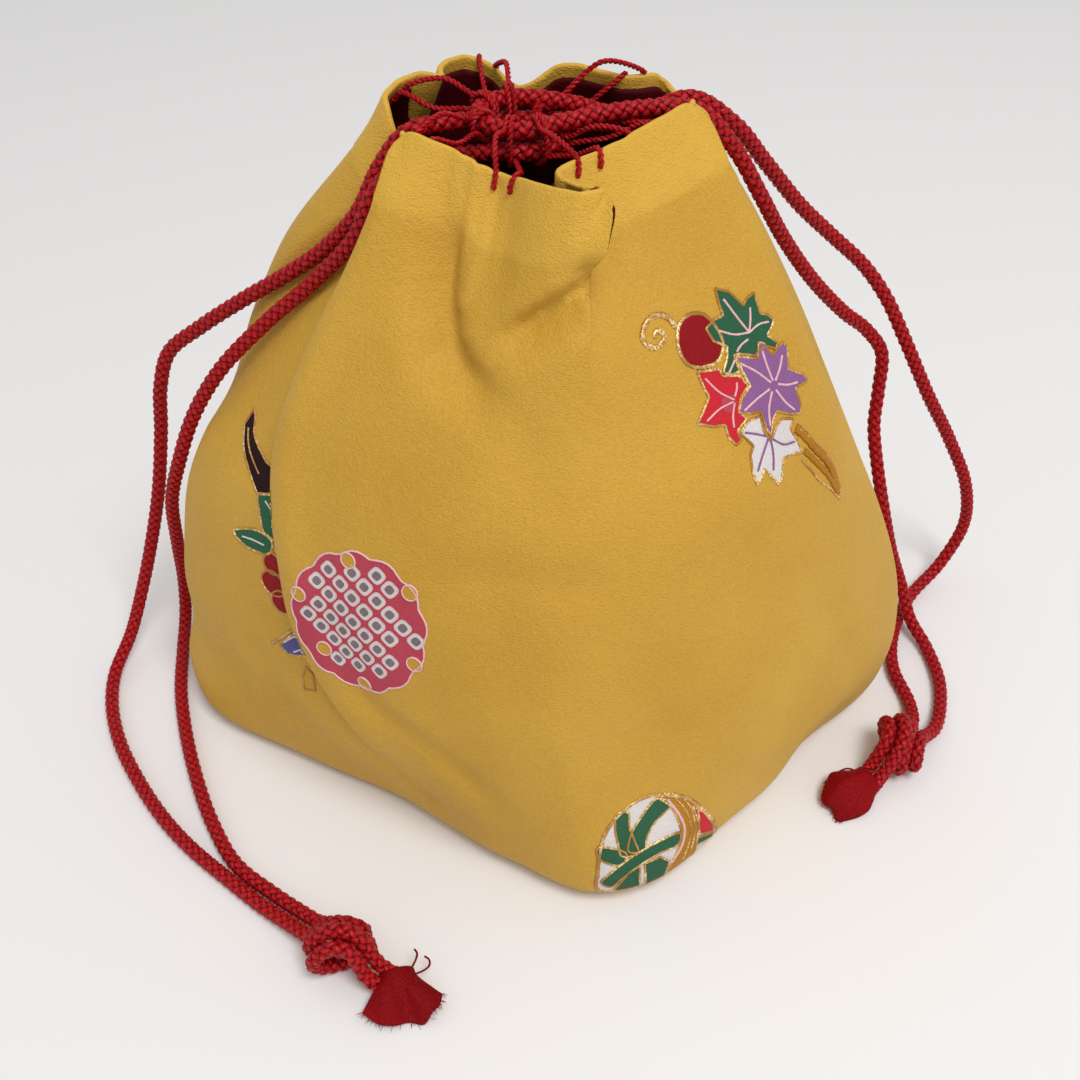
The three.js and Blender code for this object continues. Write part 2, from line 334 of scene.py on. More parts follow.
class Paint:
    """A material's node tree, with a short way to add and join its nodes."""

    def __init__(self, name: str) -> None:
        """Starts a material with one Principled shader."""
        self.material = bpy.data.materials.new(name)
        self.material.use_nodes = True
        self.tree = self.material.node_tree
        self.surface = self.tree.nodes["Principled BSDF"]

    def add(
        self, kind: str, inputs: dict[str | int, object] | None = None, **settings: object
    ) -> bpy.types.Node:
        """Adds a node.

        Args:
            kind: The node's type, without its ShaderNode prefix.
            inputs: For each input's name or number, a value or another node's output.
            settings: The node's own settings.

        Returns:
            The node.
        """
        node = self.tree.nodes.new("ShaderNode" + kind)
        for key, value in settings.items():
            setattr(node, key, value)
        for key, value in (inputs or {}).items():
            self.join(value, node.inputs[key])
        return node

    def join(self, value: object, socket: bpy.types.NodeSocket) -> None:
        """Links an output to a socket, or sets the socket to a value."""
        if isinstance(value, bpy.types.NodeSocket):
            self.tree.links.new(value, socket)
        else:
            socket.default_value = value

    def set(self, **inputs: object) -> None:
        """Sets or joins the shader's own inputs, with _ for a space in their names."""
        for key, value in inputs.items():
            self.join(value, self.surface.inputs[key.replace("_", " ")])

    def places(self, scale: tuple[float, float, float] = (1.0, 1.0, 1.0)) -> bpy.types.NodeSocket:
        """Object coordinates, drawn out along each axis."""
        coordinates = self.add("TexCoord").outputs["Object"]
        return self.add("Mapping", {"Vector": coordinates, "Scale": scale}).outputs["Vector"]

    def noise(self, vector: bpy.types.NodeSocket, scale: float, detail: float = 2.0) -> bpy.types.NodeSocket:
        """Soft noise from 0 to 1."""
        inputs = {"Vector": vector, "Scale": scale, "Detail": detail}
        return self.add("TexNoise", inputs).outputs["Fac"]

    def sum(self, operation: str, *values: object) -> bpy.types.NodeSocket:
        """One arithmetic step on numbers."""
        return self.add("Math", dict(enumerate(values)), operation=operation).outputs[0]

    def ramp(
        self, value: bpy.types.NodeSocket, low: float, high: float, first: float, last: float
    ) -> bpy.types.NodeSocket:
        """Maps a span of one number onto another, held at its ends."""
        inputs = {"Value": value, "From Min": low, "From Max": high, "To Min": first, "To Max": last}
        return self.add("MapRange", inputs).outputs["Result"]

    def blend(self, share: object, first: object, second: object) -> bpy.types.NodeSocket:
        """Mixes two colours."""
        node = self.add("Mix", data_type="RGBA", blend_type="MIX")
        self.join(share, node.inputs[0])
        self.join(first, node.inputs[6])
        self.join(second, node.inputs[7])
        return node.outputs[2]

    def attribute(self, name: str) -> bpy.types.NodeSocket:
        """Reads a number kept on the piece's points."""
        return self.add("Attribute", attribute_name=name, attribute_type="GEOMETRY").outputs["Fac"]

    def relief(
        self, height: bpy.types.NodeSocket, depth: float, under: bpy.types.NodeSocket | None = None
    ) -> bpy.types.NodeSocket:
        """Bump from a height of 0 to 1 that stands for a real depth."""
        inputs = {"Height": height, "Distance": depth, "Strength": 1.0}
        if under is not None:
            inputs["Normal"] = under
        return self.add("Bump", inputs).outputs["Normal"]


@dataclass(frozen=True)
class CrepeFinish:
    """Silk crepe: a fine pebbled grain drawn out sideways, with a soft sheen and painted shade in its
    hollows.
    """

    name: str
    colour: tuple[float, float, float, float]
    # dark: the colour drawn in the grain's hollows as painted shade, and in the low spots of a random
    # mottle.
    dark: tuple[float, float, float, float]
    grain_wide: float = 1500.0
    grain_high: float = 2500.0
    grain_depth: float = 0.00015
    roughness: float = 0.62
    sheen: float = 0.25
    shine: float = 0.35
    banded: bool = False
    specks: bool = False

    def make(self) -> bpy.types.Material:
        """Builds the material.

        Returns:
            The crepe.
        """
        paint = Paint(self.name)
        threads = paint.noise(paint.places((self.grain_wide, self.grain_wide, self.grain_high)), 1.0, 1.5)
        grain = paint.ramp(threads, 0.3, 0.7, 0.0, 1.0)
        cloudy = paint.noise(paint.places(), 26.0, 3.0)
        # Painted shade: the colour darkens into the hollows of the grain's bump, and the cloudy noise adds a
        # random mottle.
        tone = paint.sum("MULTIPLY_ADD", grain, 0.45, paint.ramp(cloudy, 0.3, 0.7, 0.0, 0.55))
        colour = paint.blend(tone, self.dark, self.colour)
        if self.banded:
            # Partly painted light: the hem band is drawn lighter, for its doubled cloth and for the light
            # that its raised band catches.
            lighter = tuple(min(1.0, c * 1.09) for c in self.colour[:3]) + (1.0,)
            colour = paint.blend(paint.attribute("band"), colour, paint.blend(tone, self.colour, lighter))
        if self.specks:
            colour = self.speckled(paint, colour)
        puckers = paint.noise(paint.places(), 420.0, 2.0)
        soft = paint.relief(puckers, 0.00026)
        paint.set(
            Base_Color=colour,
            Roughness=paint.ramp(grain, 0.0, 1.0, self.roughness + 0.12, self.roughness - 0.06),
            Normal=paint.relief(grain, self.grain_depth, soft),
            Sheen_Weight=self.sheen,
            Sheen_Roughness=0.45,
            Sheen_Tint=tuple(c**0.5 for c in self.colour[:3]) + (1.0,),
            Specular_IOR_Level=self.shine,
        )
        return paint.material

    def speckled(self, paint: Paint, colour: bpy.types.NodeSocket) -> bpy.types.NodeSocket:
        """Scatters a few tiny dark specks of wear.

        Args:
            paint: The material.
            colour: The clean cloth's colour.

        Returns:
            The colour with specks.
        """
        dots = paint.add("TexVoronoi", {"Vector": paint.places(), "Scale": 62.0})
        chance = paint.add("SeparateColor", {0: dots.outputs["Color"]}).outputs[0]
        size = paint.ramp(chance, 0.55, 1.0, 0.0, 0.026)
        mark = paint.sum("LESS_THAN", dots.outputs["Distance"], size)
        return paint.blend(paint.sum("MULTIPLY", mark, 0.6), colour, from_screen(92, 62, 22))


@dataclass(frozen=True)
class BraidFinish:
    """Silk filaments laid side by side in each strand, with painted highlights on the strands' tops and
    painted shade between them.
    """

    name: str
    # colour is the painted highlight on the strands' tops, and the darker colour after it is the painted
    # shade between strands.
    colour: tuple[float, float, float, float] = from_screen(206, 18, 28)
    painted_shade: tuple[float, float, float, float] = from_screen(130, 0, 7)
    filaments: float = 7.0
    roughness: float = 0.42

    def make(self) -> bpy.types.Material:
        """Builds the material.

        Returns:
            The braid's silk.
        """
        paint = Paint(self.name)
        uv = paint.add("TexCoord").outputs["UV"]
        split = paint.add("SeparateXYZ", {0: uv})
        round_about = paint.sum("MULTIPLY", split.outputs["Y"], 2 * math.pi * self.filaments)
        slant = paint.sum("MULTIPLY_ADD", split.outputs["X"], 900.0, round_about)
        fibre = paint.ramp(paint.sum("SINE", slant), -1.0, 1.0, 0.0, 1.0)
        fuzz = paint.noise(paint.places(), 2600.0, 2.0)
        # Painted highlight and shade: lighter towards each strand's top, darker between strands; the fuzz
        # adds random tone.
        highlight_share = paint.attribute("highlight_share")
        tone = paint.sum("MULTIPLY_ADD", fuzz, 0.3, paint.ramp(highlight_share, 0.55, 1.0, -0.08, 0.85))
        paint.set(
            Base_Color=paint.blend(tone, self.painted_shade, self.colour),
            Roughness=self.roughness,
            Normal=paint.relief(fibre, 0.00006, paint.relief(fuzz, 0.00008)),
            Sheen_Weight=0.05,
            Sheen_Roughness=0.3,
            Sheen_Tint=from_screen(255, 90, 90),
            Specular_IOR_Level=0.22,
        )
        return paint.material


@dataclass(frozen=True)
class GoldLineFinish:
    """Raised gold paint: brown gold with a broken pale painted glint."""

    name: str = "gold_line"
    colour: tuple[float, float, float, float] = from_screen(176, 122, 52)
    painted_glint: tuple[float, float, float, float] = from_screen(255, 226, 160)

    def make(self) -> bpy.types.Material:
        """Builds the material.

        Returns:
            The gold paint.
        """
        paint = Paint(self.name)
        flake = paint.noise(paint.places(), 1500.0, 1.0)
        patch = paint.noise(paint.places(), 120.0, 1.0)
        # Painted glint: pale flecks, broken into patches, are mixed into the gold as painted highlights.
        sparkle = paint.ramp(flake, 0.45, 0.6, 0.15, 1.0)
        painted_glint = paint.sum("MULTIPLY", sparkle, paint.ramp(patch, 0.42, 0.6, 0.0, 1.0))
        paint.set(
            Base_Color=paint.blend(painted_glint, self.colour, self.painted_glint),
            Metallic=0.45,
            Roughness=0.38,
            Normal=paint.relief(flake, 0.00012),
        )
        return paint.material


@dataclass(frozen=True)
class FloorFinish:
    """The plain pale surface that the pouch stands on."""

    name: str = "pale_floor"
    colour: tuple[float, float, float, float] = from_screen(238, 236, 235)

    def make(self) -> bpy.types.Material:
        """Builds the material.

        Returns:
            The floor's finish.
        """
        paint = Paint(self.name)
        paint.set(Base_Color=self.colour, Roughness=0.9, Specular_IOR_Level=0.1)
        return paint.material


class Dye(Enum):
    """Colours of the dyed motifs, each with a darker colour of painted shade for the crepe's hollows."""

    ROSE = (from_screen(192, 74, 90), from_screen(170, 56, 74))
    WHITE = (from_screen(226, 220, 218), from_screen(200, 193, 190))
    GREY = (from_screen(142, 124, 128), from_screen(104, 88, 94))
    RED = (from_screen(150, 10, 20), from_screen(128, 5, 14))
    CORAL = (from_screen(204, 40, 50), from_screen(188, 30, 42))
    GREEN = (from_screen(46, 100, 70), from_screen(34, 80, 54))
    LILAC = (from_screen(148, 98, 150), from_screen(130, 84, 134))
    BLUE = (from_screen(92, 92, 150), from_screen(76, 74, 128))
    STEM = (from_screen(40, 6, 8), from_screen(28, 3, 5))
    GOLD = (from_screen(206, 160, 62), from_screen(182, 134, 42))
    OCHRE = (from_screen(190, 132, 34), from_screen(158, 102, 18))
    PALE_PINK = (from_screen(236, 196, 196), from_screen(220, 172, 176))

    def finish(self) -> CrepeFinish:
        """The crepe as this dye leaves it."""
        # The second colour is painted shade in the grain's hollows, and the low spots of a random mottle.
        colour, hollow_shade_and_mottle = self.value
        name = "dyed_" + self.name.lower()
        return CrepeFinish(name, colour, hollow_shade_and_mottle, grain_depth=0.00008, sheen=0.03, shine=0.18)


GOLDEN_CREPE = CrepeFinish(
    "golden_crepe", from_screen(208, 162, 57), from_screen(190, 141, 40), banded=True, specks=True
)
LINING_CLOTH = CrepeFinish(
    "dark_red_lining", from_screen(84, 5, 12), from_screen(60, 2, 8),
    grain_depth=0.00006, sheen=0.03, shine=0.12,
)
SCRAP_CREPE = CrepeFinish(
    "red_crepe", from_screen(148, 2, 10), from_screen(104, 0, 4), sheen=0.0, shine=0.12
)
RED_BRAID = BraidFinish("red_braid")
RED_THREAD = BraidFinish("red_thread", colour=from_screen(200, 16, 26), filaments=5.0)


def dress(piece: bpy.types.Object, material: bpy.types.Material) -> None:
    """Gives a piece its finish and lets it ride on the pouch.

    Args:
        piece: The piece.
        material: Its finish.
    """
    piece.data.materials.clear()
    piece.data.materials.append(material)
    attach(piece, "root")


# ---------------------------------------------------------------------------------------------
# Stage
# ---------------------------------------------------------------------------------------------
@dataclass
class Studio:
    """Pale floor, soft light and the camera."""

    floor_size: float = 6.0
    camera_place: tuple[float, float, float] = (0.0, -0.27638, 0.31122)
    camera_down_deg: float = 42.0
    lens: float = 41.67
    sensor: float = 36.0
    sky: float = 0.58
    key_power: float = 13.8
    key_place: tuple[float, float, float] = (0.36, -0.64, 1.44)
    key_size: float = 0.6

    def build(self) -> None:
        """Makes the camera, the floor and the lights."""
        scene = bpy.context.scene
        scene.view_settings.view_transform = "Standard"
        data = bpy.data.cameras.new("camera")
        data.lens = self.lens
        data.sensor_width = self.sensor
        data.clip_start = 0.01
        camera = bpy.data.objects.new("camera", data)
        camera.location = self.camera_place
        camera.rotation_euler = (math.radians(90.0 - self.camera_down_deg), 0.0, 0.0)
        scene.collection.objects.link(camera)
        scene.camera = camera

        bpy.ops.object.select_all(action="DESELECT")
        bpy.ops.mesh.primitive_plane_add(size=self.floor_size)
        floor = bpy.context.object
        floor.name = "floor"
        floor.data.materials.append(FloorFinish().make())

        world = bpy.data.worlds.new("studio")
        world.use_nodes = True
        background = world.node_tree.nodes["Background"]
        background.inputs["Color"].default_value = (0.985, 0.994, 1.0, 1.0)
        background.inputs["Strength"].default_value = self.sky
        scene.world = world

        light = bpy.data.lights.new("key", "AREA")
        light.size = self.key_size
        light.energy = self.key_power
        key = bpy.data.objects.new("key", light)
        key.location = self.key_place
        aim = np.array([0.0, 0.0, 0.08]) - np.array(self.key_place)
        key.rotation_euler = (
            math.atan2(math.hypot(aim[0], aim[1]), -aim[2]),
            0.0,
            math.atan2(-aim[0], aim[1]),
        )
        scene.collection.objects.link(key)


# ---------------------------------------------------------------------------------------------
# Drawcords
# ---------------------------------------------------------------------------------------------
@dataclass
class BraidedCord:
    """An eight-strand round braid: four strands wind each way, over one and under one."""

    diameter: float = 4.5 * MM
    pitch: float = 11.6 * MM
    middle: float = 1.34 * MM
    weave: float = 0.36 * MM
    strand_wide: float = 0.88 * MM
    strand_thick: float = 0.55 * MM
    core: float = 1.45 * MM
    step: float = 0.58 * MM
    sides: int = 6

    def gather(self, parts: MeshParts, route: np.ndarray) -> np.ndarray:
        """Adds the braid along a route.

        Args:
            parts: The mesh that it joins.
            route: The cord's middle line.

        Returns:
            For each new point, how near it is to the top of a strand, from 0 to 1, which sets its painted
            highlight.
        """
        route = even_steps(route, self.step)
        tangent, side, up = frames_along(route)
        along = distances(route)
        highlight_shares = []
        angle = np.arange(self.sides) * 2 * np.pi / self.sides
        for winding in (1, -1):
            for number in range(4):
                turn = winding * 2 * np.pi * along / self.pitch + number * np.pi / 2
                out = side * np.cos(turn)[:, None] + up * np.sin(turn)[:, None]
                lift = self.middle + winding * self.weave * np.cos(4 * turn)
                line = route + out * lift[:, None]
                heading = unit(np.gradient(line, axis=0))
                wide = unit(np.cross(heading, out))
                rise = np.cross(wide, heading)
                ring = (
                    line[:, None]
                    + wide[:, None] * (np.cos(angle) * self.strand_wide)[:, None]
                    + rise[:, None] * (np.sin(angle) * self.strand_thick)[:, None]
                )
                parts.tube(ring[:, ::-1], along)
                height = lift[:, None] + np.sin(angle)[::-1] * self.strand_thick
                # Painted highlight: the nearer a point lies to the strand's top, the lighter it is drawn.
                highlight_share = np.clip((height - self.middle) / (self.strand_thick + self.weave), 0.0, 1.0)
                ends = [highlight_share[0], [0.5], highlight_share[-1], [0.5]]
                highlight_shares += [highlight_share.ravel(), *(np.asarray(e, float) for e in ends)]
        inner, core_along = round_tube(route[::3], self.core, 6)
        parts.tube(inner, core_along)
        # The core is drawn wholly in the painted shade between strands.
        highlight_shares.append(np.zeros(inner.shape[0] * 6 + 2 * 7))
        return np.concatenate(highlight_shares)


@dataclass
class Drawcord:
    """One drawcord: a single braid that runs from its knot up, round inside the mouth, and back."""

    name: str
    knot: str
    knot_piece: str
    tip_piece: str
    first: Places
    last: Places
    ring_height: float
    ring_bearing: float
    enters: Places
    leaves: Places
    ring_radius: float = 9.3 * MM
    ring_middle: tuple[float, float] = (-5 * MM, 4 * MM)
    braid: BraidedCord = field(default_factory=BraidedCord)

    def route(self) -> np.ndarray:
        """The cord's middle line from one end in the knot to the other."""
        turns = [math.radians(self.ring_bearing + t) for t in (290, 250, 215, 180, 145, 110, 70)]
        x, y = self.ring_middle
        ring = tuple(
            (x + self.ring_radius * math.cos(t), y + self.ring_radius * math.sin(t), self.ring_height)
            for t in turns
        )
        places = (*reversed(self.first), *self.enters, *ring, *self.leaves, *self.last)
        return smooth_route(places, 0.5 * MM)

    def build(self) -> bpy.types.Object:
        """Makes the braid as one mesh."""
        self.line = self.route()
        parts = MeshParts()
        highlight_share = self.braid.gather(parts, self.line)
        self.piece = parts.make(self.name + "_braid", highlight_share=highlight_share)
        return self.piece

    def dress(self, material: bpy.types.Material) -> None:
        """Gives the braid its silk and stands it in for the plain cord."""
        dress(self.piece, material)
        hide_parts(self.name)

    def declare(self) -> None:
        """Logs how long the braid is."""
        length = float(np.linalg.norm(np.diff(self.line, axis=0), axis=1).sum())
        LOG.info("%s: %.0f mm of braid", self.name, length / MM)


ON_TABLE = 0.0024
LEFT_CORD = Drawcord(
    name="drawcord_left",
    knot="knot_left",
    knot_piece="knot_left_braid",
    tip_piece="cloth_tip_left_scrap",
    first=(
        (-0.038, 0.002, 0.179), (-0.044, 0.001, 0.168), (-0.054, 0.005, 0.156), (-0.066, 0.009, 0.146),
        (-0.079, 0.014, 0.136), (-0.094, 0.019, 0.124), (-0.105, 0.022, 0.114), (-0.110, 0.023, 0.102),
        (-0.114, 0.025, 0.084), (-0.119, 0.024, 0.062), (-0.125, 0.023, 0.042), (-0.131, 0.020, 0.024),
        (-0.136, 0.012, 0.010), (-0.140, 0.001, 0.003), (-0.138, -0.012, ON_TABLE),
        (-0.132, -0.027, ON_TABLE), (-0.122, -0.043, ON_TABLE), (-0.111, -0.057, ON_TABLE),
        (-0.101, -0.067, ON_TABLE), (-0.090, -0.076, ON_TABLE), (-0.078, -0.0855, 0.0027),
        (-0.068, -0.093, 0.0046), (-0.061, -0.0989, 0.0076),
    ),
    last=(
        (-0.0385, -0.0045, 0.176), (-0.0445, -0.004, 0.164), (-0.057, 0.001, 0.149),
        (-0.071, 0.003, 0.136), (-0.086, 0.005, 0.120), (-0.097, 0.007, 0.103),
        (-0.1045, 0.008, 0.086), (-0.111, 0.012, 0.068), (-0.115, 0.018, 0.046),
        (-0.119, 0.025, 0.022), (-0.121, 0.024, 0.007), (-0.120, 0.011, ON_TABLE),
        (-0.117, -0.006, ON_TABLE), (-0.112, -0.023, ON_TABLE), (-0.105, -0.041, ON_TABLE),
        (-0.097, -0.0575, ON_TABLE), (-0.0872, -0.0722, ON_TABLE), (-0.0752, -0.0818, 0.0027),
        (-0.0653, -0.0893, 0.0046), (-0.0580, -0.0952, 0.0076),
    ),
    ring_height=0.186,
    ring_bearing=180.0,
    enters=((-0.0305, 0.0015, 0.1880), (-0.0200, 0.0060, 0.1885)),
    leaves=((-0.0190, 0.0000, 0.1830), (-0.0300, -0.0035, 0.1838)),
)
RIGHT_CORD = Drawcord(
    name="drawcord_right",
    knot="knot_right",
    knot_piece="knot_right_braid",
    tip_piece="cloth_tip_right_scrap",
    first=(
        (0.048, 0.016, 0.177), (0.056, 0.018, 0.164), (0.065, 0.025, 0.148), (0.077, 0.034, 0.130),
        (0.090, 0.043, 0.114), (0.099, 0.048, 0.105), (0.105, 0.048, 0.097), (0.106, 0.046, 0.084),
        (0.106, 0.043, 0.073), (0.108, 0.039, 0.062), (0.112, 0.033, 0.046), (0.117, 0.031, 0.030),
        (0.123, 0.030, 0.015), (0.126, 0.022, 0.0065), (0.130, 0.013, 0.0026), (0.131, -0.002, ON_TABLE),
        (0.1285, -0.014, ON_TABLE), (0.124, -0.024, 0.0042), (0.1179, -0.0306, 0.0076),
    ),
    last=(
        (0.048, 0.022, 0.181), (0.058, 0.029, 0.168), (0.071, 0.038, 0.151), (0.083, 0.045, 0.138),
        (0.095, 0.049, 0.126), (0.103, 0.048, 0.116), (0.110, 0.046, 0.104), (0.121, 0.045, 0.084),
        (0.134, 0.049, 0.062), (0.144, 0.050, 0.042), (0.148, 0.052, 0.022), (0.142, 0.048, 0.008),
        (0.130, 0.037, ON_TABLE), (0.120, 0.018, ON_TABLE), (0.117, 0.003, ON_TABLE),
        (0.119, -0.011, ON_TABLE), (0.118, -0.020, 0.0042), (0.1147, -0.0268, 0.0076),
    ),
    ring_height=0.1913,
    ring_bearing=26.0,
    enters=((0.038, 0.0130, 0.1880), (0.0225, 0.0060, 0.1915)),
    leaves=((0.0070, 0.0155, 0.1890), (0.0210, 0.0135, 0.1865), (0.0365, 0.0188, 0.1888)),
)


# ---------------------------------------------------------------------------------------------
# The bag
# ---------------------------------------------------------------------------------------------
class FoldStyle(Enum):
    """How a fold lies in the wall."""

    GROOVE = 0
    LAPS_OVER_RIGHT = 1
    LAPS_OVER_LEFT = -1


@dataclass(frozen=True)
class Fold:
    """A fold that runs down the wall: a soft groove, or a panel that laps over its neighbour."""

    mark: float
    line: Pairs
    depth: Pairs
    reach: float
    style: FoldStyle = FoldStyle.GROOVE
    tuck: float = 0.0
    lip: float = 0.0
    edge: float = 1.1

    def share(self, marks: np.ndarray) -> np.ndarray:
        """How far the cloth is let down, from 0 to 1.

        Args:
            marks: Places round the cloth, in degrees.

        Returns:
            The share of the fold's depth at each place.
        """
        gap = turn_from(marks, self.mark)
        if self.style is FoldStyle.GROOVE:
            return np.exp(-np.abs(gap / self.reach) ** 3)
        beyond = gap * self.style.value
        fading = np.exp(-(np.maximum(beyond - self.edge, 0.0) / self.reach) ** 2)
        return ease(0.0, self.edge, beyond) * fading

    def crest(self, marks: np.ndarray) -> np.ndarray:
        """How far the lapping panel's edge swells, from 0 to 1."""
        if self.style is FoldStyle.GROOVE:
            return np.zeros_like(marks)
        gap = turn_from(marks, self.mark) * self.style.value
        return np.exp(-(((gap + 4.0) / 4.5) ** 2)) * (gap < self.edge)


@dataclass(frozen=True)
class Bulge:
    """A place where the cloth stands out, or sinks in where it is below zero."""

    bearing: float
    height: float
    out: float
    wide: float
    tall: float

    def rise(self, bearing: np.ndarray, height: np.ndarray) -> np.ndarray:
        """How far out the wall moves at a bearing in degrees and a height."""
        gap = turn_from(bearing, self.bearing)
        return self.out * np.exp(-((gap / self.wide) ** 2) - ((height - self.height) / self.tall) ** 2)


@dataclass(frozen=True)
class Crease:
    """A soft dent that runs across the wall, with the cloth swelling a little beside it.

    The line is heights and bearings. The dent fades out at its last end, and at its first unless told
    not to.
    """

    line: Pairs
    depth: float
    width: float
    swell: float
    fade_first: bool = True


